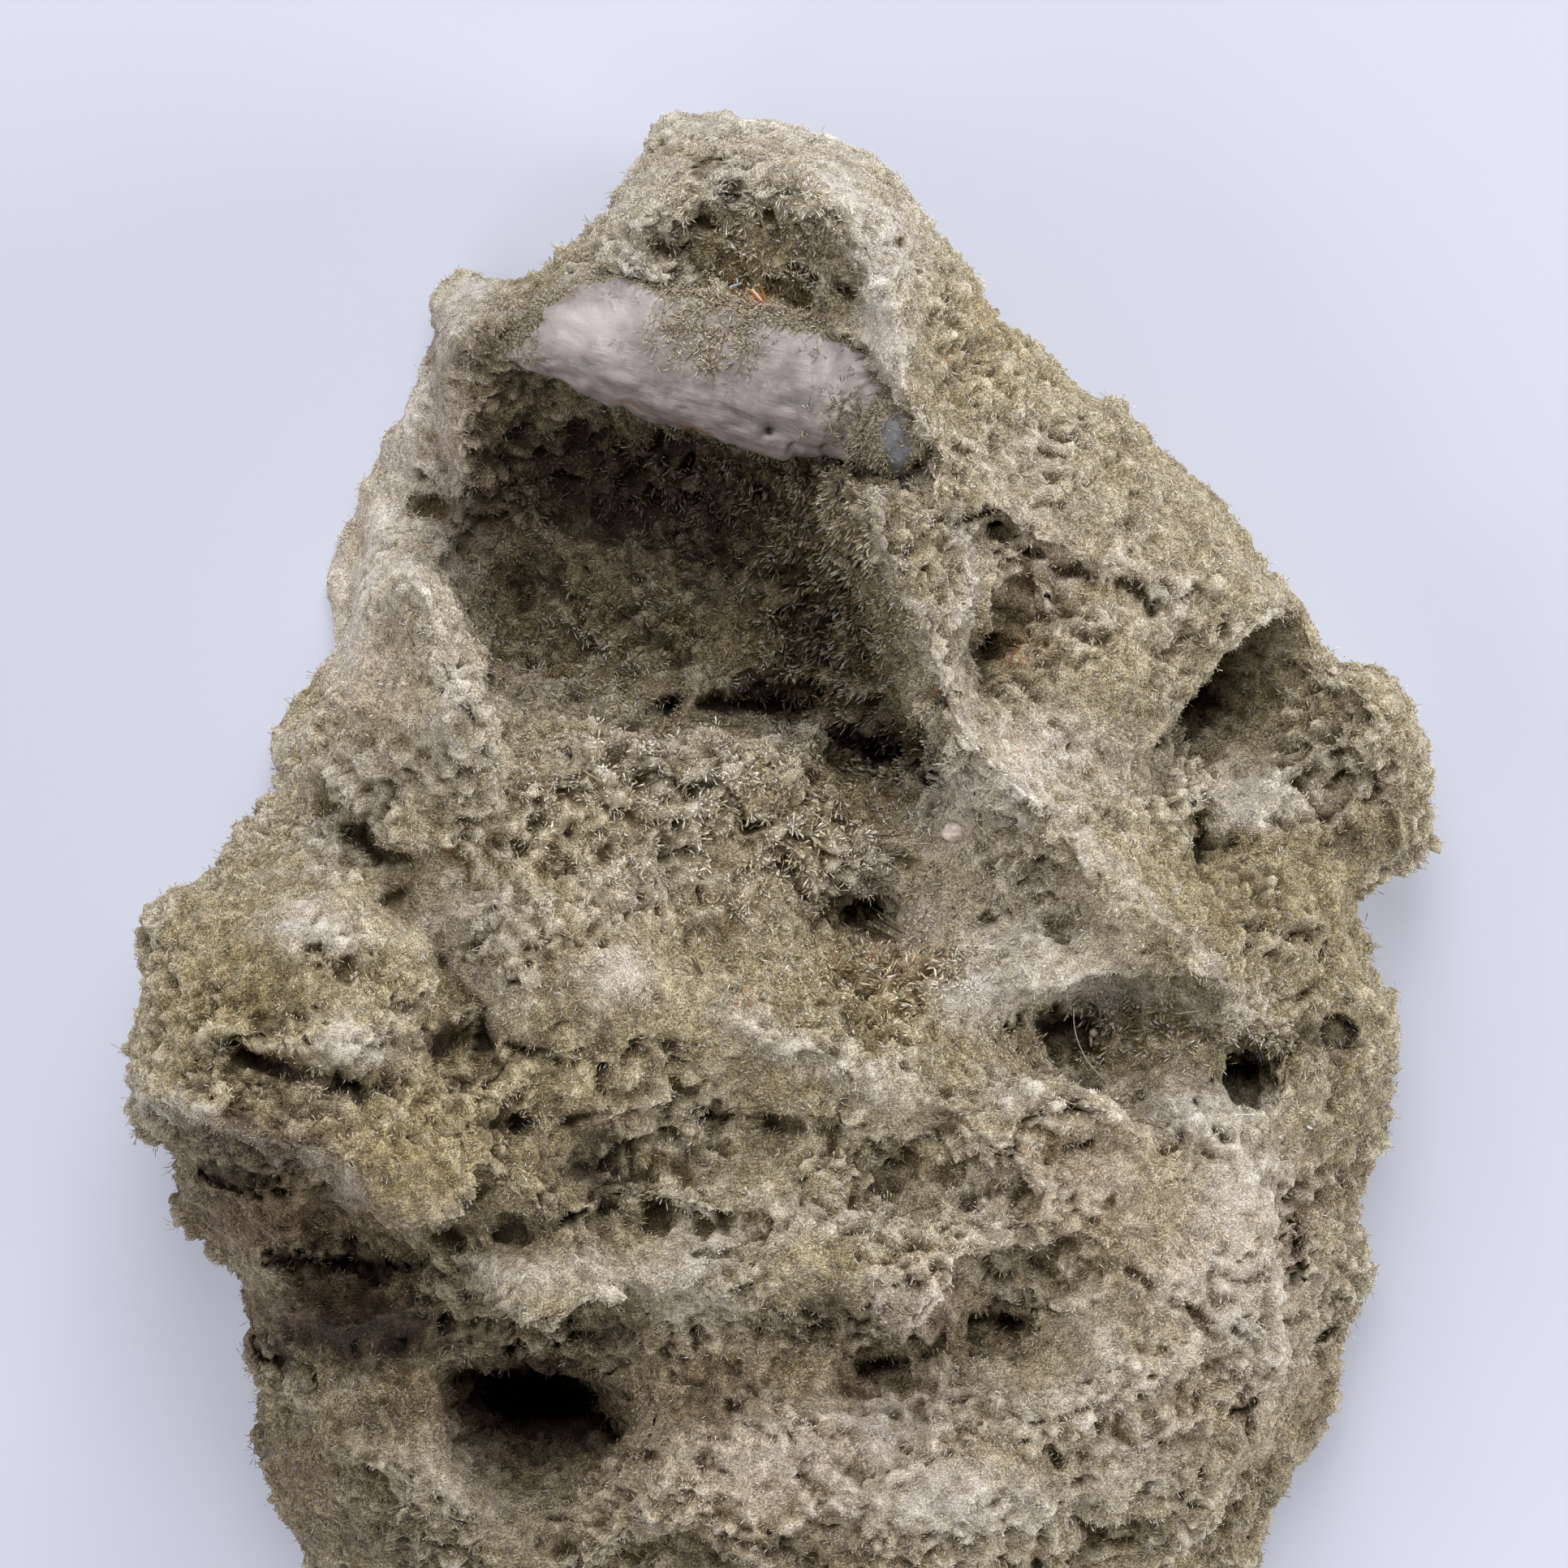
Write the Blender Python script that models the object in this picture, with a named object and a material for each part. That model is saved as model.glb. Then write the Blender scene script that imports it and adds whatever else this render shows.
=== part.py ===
"""Johannsenite specimen: a lump of matted pyroxene needles, some 5 cm long, with a quartz lens in it.

The lump lies on its broken flat base. +X is its right hand and +Y its upper end as seen from above,
and the origin is on the base, under the middle of the whole lump.
"""

import math

import bmesh
import bpy
import numpy as np
from mathutils import Matrix, Vector, noise

MM = 0.001

# Driving sizes, in millimetres. Heights and depths in the tables below are millimetres too.
LUMP_WIDTH = 40.7

# Plan positions are (column, row) in a view from straight above, in which the lump is PLAN_WIDTH steps wide.
PLAN_WIDTH = 1629.0
PLAN_STEP = LUMP_WIDTH / PLAN_WIDTH
PLAN_MIDDLE = (970.0, 1180.0)

# How the outline becomes a body: where its edge rounds over, its waist, its base and its skin.
RADIAL_CENTRE = (960.0, 1150.0)
OUTLINE_GROWTH = 0.2
EDGE_ROUND_SHARE = 0.07
WAIST_SHARE = 0.5
BASE_DEPTH = 0.9
BASE_INSET = 0.13
BASE_TUCK_POWER = 1.6
WALL_SHARE = 0.26
LEAST_WAIST = 2.0
REMESH_SIZE = 0.3
ROCK_FACES = 8300
LUMP_SIZE = 3.4
LUMP_HEIGHT = 0.45
GRAIN_SIZE = 0.95
GRAIN_HEIGHT = 0.16
GRAIN_SHIFT = (9.0, 4.0, 2.0)

# How the relief is drawn: the size, amount and offset of each bend of its lines, and how soft its edges are.
BENDS = ((2.6, 0.35, 3.1), (0.9, 0.16, 7.7))
BROAD_SOFTNESS = 1.2
BROAD_SMOOTHING = 0.05
LINE_TAPER = 0.12
LIP_SHARE = 0.38
STEP_SOFTNESS = 0.16
LEAN_REACH = 1.3
LEANING_RISE = (-0.2, 0.45)
CREST_ROUNDING = 0.25
HOLLOW_EDGE = (0.35, 1.3)
RAGGED_SIZE = 0.8
RAGGED_OFFSET = 5.5
RAGGEDNESS = 0.55

OUTLINE = [
    (895, 130), (925, 140), (960, 152), (1000, 162), (1040, 184), (1100, 208), (1132, 238), (1165, 285),
    (1205, 318), (1218, 362), (1228, 388), (1262, 420), (1298, 440), (1330, 486), (1378, 492), (1425, 535),
    (1480, 590), (1525, 642), (1553, 698), (1592, 725), (1640, 785), (1668, 815), (1712, 824), (1748, 864),
    (1766, 905), (1770, 960), (1776, 1000), (1785, 1050), (1748, 1070), (1714, 1086), (1664, 1100),
    (1672, 1150), (1694, 1196), (1729, 1248), (1724, 1290), (1730, 1330), (1720, 1420), (1698, 1455),
    (1690, 1505), (1698, 1570), (1686, 1612), (1652, 1655), (1656, 1715), (1632, 1775), (1606, 1840),
    (1572, 1890), (1548, 1945), (1490, 2010), (1420, 2062), (1350, 2112), (1250, 2150), (1170, 2196),
    (1060, 2222), (960, 2230), (860, 2200), (770, 2180), (670, 2150), (590, 2098), (500, 2060), (440, 2010),
    (392, 1960), (356, 1900), (332, 1838), (298, 1772), (322, 1728), (308, 1690), (316, 1640), (304, 1590),
    (284, 1552), (226, 1524), (208, 1480), (228, 1444), (208, 1408), (160, 1386), (166, 1330), (156, 1300),
    (170, 1220), (176, 1130), (202, 1098), (244, 1088), (278, 1040), (330, 992), (344, 964), (318, 905),
    (346, 850), (384, 815), (390, 745), (410, 655), (442, 600), (474, 572), (486, 528), (518, 472),
    (518, 430), (532, 402), (514, 372), (534, 328), (566, 318), (612, 338), (650, 336), (694, 300),
    (736, 266), (770, 208), (800, 160), (822, 138), (862, 146),
]

# Spot heights of the broad relief, as (column, row, height above the base).
SPOTS = {
    "top lobe": [
        (880, 160, 10.5), (825, 165, 8.5), (960, 215, 13.0), (1055, 230, 14.5), (1130, 270, 12.0),
        (1200, 350, 9.5), (740, 290, 10.0), (800, 245, 11.5), (930, 300, 12.5), (1020, 350, 12.5),
        (950, 385, 11.3), (1060, 400, 12.6), (860, 330, 11.2), (1110, 380, 14.8), (1180, 440, 13.0),
    ],
    "quartz ledge": [
        (690, 370, 11.8), (800, 400, 12.8), (900, 440, 13.0), (1020, 480, 13.6), (640, 410, 11.8),
        (608, 424, 11.6), (592, 378, 10.8), (560, 400, 9.4), (1100, 520, 14.6), (850, 490, 12.0),
        (1000, 530, 12.5),
    ],
    "big hollow": [
        (600, 480, 8.6), (560, 560, 8.0), (680, 560, 6.8), (800, 600, 6.6), (720, 660, 6.0),
        (900, 600, 7.4), (750, 745, 6.0), (870, 730, 6.2), (660, 800, 6.6), (780, 815, 7.2),
        (900, 800, 7.0), (960, 840, 6.6), (980, 650, 8.6), (1030, 740, 8.6), (1040, 850, 8.2),
        (1100, 800, 11.0), (1080, 925, 8.2), (1130, 900, 10.2), (620, 620, 6.4), (600, 700, 6.2),
    ],
    "crest": [
        (1075, 600, 15.2), (1085, 680, 15.2), (1130, 760, 15.0), (1170, 840, 14.6), (1200, 920, 14.4),
        (1275, 975, 14.6), (1335, 1040, 14.4), (1405, 1105, 14.2), (1465, 1155, 13.6), (1520, 1220, 12.8),
        (1565, 1280, 11.8),
    ],
    "right slope": [
        (1200, 560, 14.0), (1300, 540, 11.6), (1400, 570, 10.2), (1490, 640, 8.4), (1200, 690, 14.0),
        (1300, 650, 12.8), (1400, 690, 11.4), (1500, 720, 9.6), (1580, 770, 8.4), (1240, 800, 12.6),
        (1320, 760, 12.4), (1400, 800, 11.6), (1300, 860, 12.6), (1400, 880, 11.6), (1250, 900, 13.2),
        (1360, 960, 13.2), (1440, 1000, 12.2), (1500, 1110, 11.6), (1580, 1120, 9.6),
    ],
    "right lobe": [
        (1530, 880, 6.2), (1500, 860, 6.6), (1600, 860, 6.6), (1640, 820, 8.0), (1700, 870, 8.8),
        (1745, 960, 8.0), (1560, 980, 8.4), (1640, 970, 7.6), (1700, 1040, 7.0), (1490, 1040, 8.6),
        (1600, 1060, 8.2), (1640, 1160, 8.6), (1690, 1250, 7.6), (1700, 1340, 7.4), (1600, 1240, 9.6),
        (1650, 1400, 7.8), (1660, 1480, 7.0), (1650, 1580, 6.8), (1630, 1700, 6.2), (1600, 1800, 5.2),
    ],
    "middle": [
        (1150, 1000, 11.8), (1200, 1100, 12.8), (1300, 1120, 13.0), (1300, 1190, 13.6), (1220, 1220, 13.8),
        (1400, 1190, 13.0), (1060, 1060, 12.2), (1060, 1125, 10.8), (1130, 1160, 12.6), (1000, 1110, 12.0),
        (900, 930, 13.8), (980, 960, 13.2), (980, 1030, 13.2), (880, 1060, 13.6), (800, 980, 14.2),
        (700, 920, 14.0), (640, 900, 14.2), (620, 980, 15.4), (700, 1050, 14.8), (640, 1120, 16.2),
        (740, 1160, 16.4), (800, 1215, 16.0), (860, 1150, 14.4), (900, 1230, 15.6), (1000, 1280, 15.4),
        (1090, 1330, 15.2), (1100, 1210, 14.0), (1140, 1270, 14.2), (930, 1180, 14.6), (1020, 1210, 14.0),
        (700, 1290, 16.4), (800, 1340, 15.6), (900, 1390, 13.6), (1000, 1420, 14.6), (1110, 1430, 13.2),
        (1180, 1360, 14.6), (640, 1400, 15.6), (700, 1450, 14.2), (760, 1480, 13.2), (830, 1460, 14.2),
    ],
    "second hollow": [
        (1300, 1285, 11.0), (1400, 1285, 11.4), (1460, 1275, 11.6), (1440, 1320, 12.4), (1500, 1370, 12.4),
        (1340, 1370, 14.6), (1400, 1440, 13.8), (1280, 1340, 14.6), (1560, 1390, 11.4), (1470, 1450, 13.0),
        (1560, 1480, 11.8), (1530, 1320, 9.4),
    ],
    "lower right face": [
        (1260, 1450, 14.6), (1330, 1500, 14.2), (1300, 1560, 12.6), (1230, 1640, 12.0), (1400, 1600, 13.2),
        (1500, 1560, 12.4), (1580, 1560, 10.8), (1400, 1700, 12.6), (1500, 1700, 11.4), (1570, 1700, 9.8),
        (1300, 1720, 13.2), (1300, 1800, 12.8), (1400, 1820, 11.4), (1500, 1820, 9.4), (1360, 1900, 10.0),
        (1200, 1900, 12.2), (1300, 2020, 8.8), (1450, 1960, 7.4),
    ],
    "left lobe": [
        (205, 1150, 14.0), (250, 1220, 17.0), (200, 1300, 15.4), (300, 1110, 15.6), (370, 1100, 17.4),
        (400, 1160, 18.6), (330, 1200, 18.2), (470, 1180, 18.0), (420, 1270, 18.8), (330, 1330, 17.6),
        (260, 1360, 17.4), (200, 1360, 15.6), (400, 1380, 18.4), (500, 1340, 17.6), (480, 1440, 18.2),
        (560, 1430, 17.2), (560, 1260, 16.4), (520, 1120, 16.6), (420, 1060, 15.4), (330, 1040, 13.4),
        (600, 1330, 16.4), (540, 1490, 16.0),
    ],
    "left horn": [
        (492, 706, 14.4), (520, 770, 15.8), (560, 850, 16.4), (475, 800, 13.6), (510, 900, 16.0),
        (440, 900, 13.0), (570, 950, 16.6), (480, 990, 15.4), (400, 980, 12.6), (430, 850, 12.2),
        (625, 820, 7.8), (605, 740, 6.2), (575, 680, 6.2), (540, 640, 6.0), (640, 770, 6.2),
    ],
    "low left rim": [
        (430, 700, 4.8), (410, 770, 4.6), (470, 620, 5.4), (500, 540, 5.8), (350, 920, 7.0), (560, 350, 4.4),
        (620, 360, 6.4),
    ],
    "shaded step": [
        (300, 1480, 10.8), (250, 1500, 9.0), (400, 1510, 10.8), (480, 1545, 10.6), (340, 1600, 11.2),
        (450, 1620, 12.4), (350, 1700, 10.2), (450, 1720, 12.0), (400, 1780, 11.6), (520, 1740, 12.2),
        (330, 1820, 7.8), (400, 1880, 8.4), (540, 1830, 11.4),
    ],
    "pale band": [
        (620, 1570, 15.0), (700, 1560, 15.2), (800, 1560, 15.2), (900, 1540, 15.2), (1000, 1510, 15.2),
        (1100, 1520, 15.2), (1180, 1540, 14.6), (1120, 1610, 14.4), (650, 1640, 13.8), (800, 1610, 14.4),
    ],
    "lower shelf": [
        (860, 1660, 12.6), (1000, 1700, 12.8), (1100, 1740, 12.8), (860, 1740, 12.4), (800, 1800, 12.0),
        (900, 1820, 12.6), (1040, 1830, 13.0), (1180, 1840, 13.4), (700, 1860, 9.6), (600, 1900, 10.4),
        (480, 1900, 9.8), (820, 1960, 10.0), (1000, 1960, 11.4), (1100, 2040, 10.2), (900, 2080, 9.0),
        (700, 2040, 8.6), (560, 1990, 7.6),
    ],
    "cave floor": [(650, 1730, 7.0), (700, 1780, 6.6), (610, 1760, 8.0)],
}

# Steps, as points, height, how far the lip and foot are felt, and how far the lip hangs over.
# The high ground is on the left hand when walking along the points.
STEPS = {
    "quartz ledge lip": ([(585, 428), (650, 440), (705, 462), (770, 478), (850, 500), (905, 516),
                          (955, 532), (1000, 536), (1050, 556), (1090, 588)], 5.0, 3.0, 0.2),
    "top lobe recess": ([(770, 300), (830, 268), (900, 246), (960, 252), (1010, 285), (1050, 330),
                         (1075, 395)], 1.8, 1.4, 0.0),
    "horn side": ([(650, 985), (622, 920), (604, 870), (594, 800), (572, 740), (545, 695), (500, 670),
                   (455, 690), (432, 740), (418, 800), (398, 860), (378, 925), (346, 990)], 8.0, 2.4, 0.3),
    "hollow near rim": ([(1030, 990), (1012, 950), (1026, 905), (1008, 886), (996, 858), (980, 884), (920, 888),
                         (900, 876), (860, 880), (822, 870), (814, 894), (760, 886), (720, 870),
                         (690, 856), (650, 860), (600, 850), (585, 800)], 5.6, 1.3, 0.5),
    "crest wall": ([(1170, 985), (1160, 900), (1130, 840), (1092, 780), (1052, 700), (1034, 620),
                    (1046, 560)], -4.2, 2.0, 0.0),
    "right lobe hollow lip": ([(1430, 960), (1448, 885), (1500, 848), (1535, 806), (1562, 786), (1620, 800)],
                              3.6, 1.6, 0.6),
    "slope crack": ([(1180, 640), (1225, 655), (1280, 684), (1330, 706), (1372, 712), (1425, 748)],
                    1.8, 0.9, 0.4),
    "slope pit side": ([(1215, 880), (1190, 825), (1205, 775), (1225, 715)], 2.2, 1.0, 0.0),
    "second hollow brow": ([(1235, 1248), (1300, 1238), (1370, 1226), (1400, 1238), (1450, 1222),
                            (1510, 1250)], 3.4, 1.2, 0.6),
    "second hollow rim": ([(1440, 1450), (1422, 1380), (1390, 1346), (1330, 1328), (1270, 1306),
                           (1248, 1266)], 3.0, 1.2, 0.3),
    "left lobe brow": ([(130, 1386), (215, 1396), (262, 1414), (330, 1426), (398, 1430), (428, 1482),
                        (470, 1512), (540, 1522), (600, 1500), (650, 1450)], 6.0, 2.0, 1.2),
    "dark crevice": ([(300, 1552), (400, 1560), (520, 1562), (600, 1540)], 3.0, 0.8, 0.8),
    "band slot left": ([(600, 1536), (700, 1502), (760, 1490), (850, 1502), (960, 1500)], 2.4, 1.0, 0.5),
    "band slot right": ([(840, 1372), (900, 1386), (960, 1396), (1010, 1392)], 2.0, 0.9, 0.4),
    "dune slot": ([(980, 1476), (1060, 1458), (1130, 1446), (1230, 1444), (1290, 1492)], 1.6, 1.0, 0.3),
    "cave brow": ([(440, 1662), (540, 1672), (606, 1678), (650, 1684), (704, 1676), (760, 1640), (800, 1640)],
                  6.0, 1.6, 1.8),
    "left shelf brow": ([(280, 1640), (350, 1646), (430, 1662), (520, 1668)], 2.6, 1.2, 0.5),
    "shelf brow": ([(720, 1640), (780, 1624), (850, 1612), (950, 1640), (1040, 1650)], 2.2, 1.2, 0.5),
    "boss edge": ([(1000, 1650), (1060, 1668), (1110, 1676), (1152, 1650), (1182, 1606), (1206, 1566),
                   (1270, 1540), (1330, 1560)], 3.4, 1.1, 0.8),
    "face edge": ([(1420, 1990), (1500, 1900), (1552, 1836), (1590, 1764), (1601, 1700), (1597, 1600),
                   (1590, 1545), (1604, 1495), (1590, 1430)], 4.0, 1.5, 0.6),
    "low left step": ([(280, 1730), (345, 1756), (382, 1796), (424, 1826), (490, 1832)], 3.4, 1.5, 0.5),
    "bottom notch": ([(730, 1950), (790, 1910), (850, 1902), (900, 1926), (930, 1960)], 3.2, 1.2, 0.5),
    "bottom right notch": ([(1340, 1892), (1400, 1886), (1460, 1890), (1520, 1880)], 1.6, 1.0, 0.3),
    "far rim": ([(600, 345), (562, 384), (526, 412), (521, 470), (528, 540), (536, 600), (548, 668)],
                3.6, 1.2, 0.3),
    "near nub edge": ([(412, 830), (382, 900), (356, 962), (326, 1000)], 3.0, 1.0, 0.2),
    "horn foot": ([(395, 960), (436, 1022), (468, 1050), (540, 1068), (620, 1062)], 1.8, 1.0, 0.4),
}

# Raised crests, as points, height and half width.
CRESTS = {
    "main crest": ([(1060, 230), (1095, 300), (1112, 390), (1112, 480), (1076, 600), (1086, 680),
                    (1130, 760), (1165, 830), (1186, 900), (1230, 945), (1275, 975), (1335, 1045),
                    (1405, 1105), (1465, 1155), (1512, 1212), (1562, 1280)], 1.1, 0.8),
    "middle crest": ([(590, 1096), (680, 1120), (760, 1170), (806, 1214)], 0.8, 0.9),
    "dune crest": ([(880, 1242), (960, 1290), (1050, 1310), (1110, 1350)], 0.8, 0.8),
    "horn crest": ([(500, 690), (548, 800), (582, 900)], 0.9, 0.8),
    "mound arc": ([(1250, 1300), (1330, 1345), (1392, 1362), (1425, 1430), (1420, 1500), (1360, 1540)],
                  0.6, 0.5),
    "low dune": ([(1080, 1350), (1180, 1380), (1260, 1400)], 0.5, 0.6),
    "face fold 1": ([(1250, 1620), (1320, 1600), (1400, 1600), (1500, 1540)], 0.6, 0.5),
    "face fold 2": ([(1220, 1760), (1330, 1750), (1450, 1690), (1560, 1600)], 0.6, 0.6),
    "face fold 3": ([(1240, 1860), (1360, 1820), (1480, 1740), (1580, 1650)], 0.5, 0.6),
    "pink fold": ([(780, 1700), (900, 1740), (1040, 1750)], 0.6, 0.6),
    "lobe fold": ([(200, 1180), (300, 1160), (400, 1140), (460, 1150)], 0.5, 0.7),
}

# Grooves, as points, depth and half width.
GROOVES = {
    "lobe valley": ([(470, 1050), (500, 1110), (545, 1150), (572, 1200), (590, 1260), (582, 1320)], 1.3, 0.5),
    "lobe groove": ([(270, 1296), (345, 1318), (400, 1346), (450, 1340), (486, 1306)], 1.5, 0.6),
    "recess step 1": ([(850, 250), (930, 300), (1000, 300), (1060, 380)], 0.6, 0.4),
    "recess step 2": ([(840, 310), (900, 330), (960, 350), (1030, 400)], 0.8, 0.4),
    "middle valley": ([(1010, 1100), (1050, 1130), (1110, 1150)], 1.2, 0.5),
    "slope groove": ([(1210, 520), (1260, 560), (1330, 600), (1400, 620)], 0.5, 0.6),
    "mound groove": ([(1270, 1400), (1330, 1420), (1380, 1410)], 0.9, 0.4),
    "face groove 1": ([(1230, 1700), (1330, 1670), (1450, 1640), (1540, 1560)], 0.5, 0.4),
    "face groove 2": ([(1230, 1810), (1350, 1790), (1470, 1720), (1570, 1650)], 0.5, 0.4),
    "face groove 3": ([(1280, 1920), (1380, 1870), (1500, 1780), (1590, 1700)], 0.7, 0.5),
    "shelf groove": ([(880, 1700), (980, 1690), (1080, 1700), (1150, 1680)], 0.9, 0.4),
    "dune groove": ([(620, 1380), (700, 1390), (760, 1420), (850, 1430)], 0.8, 0.5),
}

# Hollows and pits, as centre, radii across and along, turn in degrees, and depth.
HOLLOWS = {
    "vug deep": ((760, 590), (4.2, 1.8), -12, 1.2),
    "vug left pocket": ((640, 745), (1.6, 1.2), 0, 0.8),
    "vug slot": ((955, 858), (2.0, 0.7), 5, 2.4),
    "vug slot left": ((850, 862), (1.0, 0.4), 0, 1.6),
    "vug right pocket": ((1085, 918), (1.9, 0.8), 8, 2.8),
    "slope pit": ((1228, 640), (0.6, 0.5), 0, 1.6),
    "rust pit": ((1215, 808), (0.8, 0.7), 0, 2.6),
    "rust dell": ((1240, 745), (0.8, 1.1), 0, 1.0),
    "lobe pocket": ((1500, 874), (1.3, 0.8), 35, 1.0),
    "lobe pit": ((1482, 1042), (0.4, 0.9), 0, 1.4),
    "rim pit": ((1700, 1055), (0.7, 0.4), 0, 1.0),
    "second hollow": ((1300, 1278), (1.3, 0.7), 0, 1.2),
    "second hollow end": ((1440, 1258), (1.4, 0.5), 0, 0.5),
    "crest hole": ((1532, 1322), (0.8, 0.75), 20, 4.5),
    "ledge hole": ((1645, 1280), (0.9, 0.7), 0, 1.8),
    "valley pit": ((1062, 1132), (0.8, 0.4), -10, 1.8),
    "felt pit": ((925, 1020), (0.5, 0.25), 10, 0.7),
    "horn pit": ((452, 1040), (0.6, 0.35), -40, 1.4),
    "lobe pit 1": ((488, 1108), (0.45, 0.35), 0, 1.1),
    "lobe pit 2": ((546, 1284), (0.6, 0.5), 0, 1.2),
    "lobe pit 3": ((596, 1290), (0.5, 0.7), 0, 1.6),
    "lobe pit 4": ((440, 1190), (0.6, 0.5), 0, 0.9),
    "dune pit": ((620, 1372), (0.6, 0.4), 0, 0.9),
    "fold pit": ((1245, 1635), (0.9, 0.5), 40, 1.6),
    "boss pit": ((1090, 1688), (0.9, 0.4), 0, 1.6),
    "cave": ((655, 1724), (2.7, 1.2), -10, 5.0),
    "cave front": ((700, 1760), (1.8, 0.8), -22, 3.0),
    "mound shade": ((1110, 1430), (1.4, 0.5), 5, 1.0),
    "ledge slit": ((1655, 1640), (0.9, 0.25), 35, 1.2),
    "shelf pit 1": ((905, 1735), (0.4, 0.25), 0, 0.8),
    "shelf pit 2": ((800, 1795), (0.4, 0.3), 0, 0.8),
    "face pit": ((1262, 1774), (0.2, 0.2), 0, 0.8),
    "face end pits": ((1530, 1730), (1.0, 0.3), 20, 0.8),
    "slope dell": ((1290, 600), (0.8, 0.5), -20, 0.5),
}

# The quartz lens from above: a long body under the ledge's edge, and a knob that comes up through the crest.
LENS_CENTRE = (870.0, 455.0)
LENS_OUTLINE = [
    (628, 440), (640, 400), (690, 362), (760, 352), (840, 366), (930, 392), (1010, 412), (1062, 440),
    (1078, 478), (1104, 494), (1128, 522), (1132, 558), (1118, 590), (1090, 592), (1050, 568), (1000, 558),
    (952, 566), (900, 546), (840, 528), (770, 503), (700, 488), (655, 462),
]
LENS_HALF_LENGTH = 6.0
LENS_HALF_WIDTH = 2.6
LENS_ROUNDING = (3.2, 0.6)
LENS_LEFT = (628, 10.5, 1.2)
LENS_RIGHT = (1060, 12.4, 1.6)
LENS_KNOB = (1100, 14.3, 1.8)
LENS_REMESH = 0.22
LENS_FACES = 900
LENS_ROUGHNESS = 0.25
POCKET_MARGIN = 0.6
POCKET_TOP = 26.0
POCKET_EDGE = 0.999


def plan(points):
    """Plan positions as millimetres from the middle of the lump, one row for each point."""
    columns_rows = np.asarray(points, float).reshape(-1, 2)
    east = (columns_rows[:, 0] - PLAN_MIDDLE[0]) * PLAN_STEP
    north = (PLAN_MIDDLE[1] - columns_rows[:, 1]) * PLAN_STEP
    return np.stack([east, north], axis=1)


def smooth_step(low, high, value):
    share = np.clip((value - low) / (high - low), 0.0, 1.0)
    return share * share * (3 - 2 * share)


def wander(points, size, amount, offset):
    """Each plan point moved a little by smooth noise, so that no edge runs like a drawn line."""
    moved = np.empty_like(points)
    for index, (east, north) in enumerate(points):
        shift = noise.noise_vector((east / size + offset, north / size - offset, offset))
        moved[index] = (east + amount * shift.x, north + amount * shift.y)
    return moved


def along_line(points, line):
    """For each point: signed distance to a line (left hand positive), the left normal, the share along."""
    line = plan(line)
    lengths = np.linalg.norm(np.diff(line, axis=0), axis=1)
    started = np.concatenate([[0.0], np.cumsum(lengths)])
    best = np.full(len(points), np.inf)
    side = np.zeros(len(points))
    share = np.zeros(len(points))
    normal = np.zeros_like(points)
    for start, end, length, before in zip(line[:-1], line[1:], lengths, started):
        step = (end - start) / length
        left = np.array([-step[1], step[0]])
        offset = points - start
        reached = np.clip(offset @ step, 0.0, length)
        distance = np.linalg.norm(offset - reached[:, None] * step, axis=1)
        nearer = distance < best - 1e-9
        best[nearer] = distance[nearer]
        side[nearer] = np.where(offset @ left >= 0, 1.0, -1.0)[nearer]
        share[nearer] = ((before + reached) / started[-1])[nearer]
        normal[nearer] = left
    return best * side, normal, share


def end_taper(share):
    """Full strength along a line's middle, fading to nothing at its two ends."""
    return smooth_step(0.0, LINE_TAPER, share) * smooth_step(0.0, LINE_TAPER, 1 - share)


class BroadRelief:
    """A smooth surface through the spot heights."""

    def __init__(self, spots):
        rows = np.array([spot for group in spots.values() for spot in group], float)
        self.places = plan(rows[:, :2])
        self.mean = rows[:, 2].mean()
        gaps = np.linalg.norm(self.places[:, None] - self.places[None], axis=2)
        basis = np.hypot(gaps, BROAD_SOFTNESS) - BROAD_SMOOTHING * np.eye(len(rows))
        self.weights = np.linalg.solve(basis, rows[:, 2] - self.mean)

    def __call__(self, points):
        height = np.full(len(points), self.mean)
        for place, weight in zip(self.places, self.weights):
            height += weight * np.hypot(np.linalg.norm(points - place, axis=1), BROAD_SOFTNESS)
        return height


def hollow_share(points, ragged, centre, radii, turn):
    """1 at the bottom of a hollow, 0 outside its ragged edge."""
    offset = points - plan(centre)[0]
    angle = math.radians(turn)
    across = offset @ np.array([math.cos(angle), math.sin(angle)]) / radii[0]
    along = offset @ np.array([-math.sin(angle), math.cos(angle)]) / radii[1]
    return 1 - smooth_step(*HOLLOW_EDGE, np.hypot(across, along) * ragged)


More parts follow.
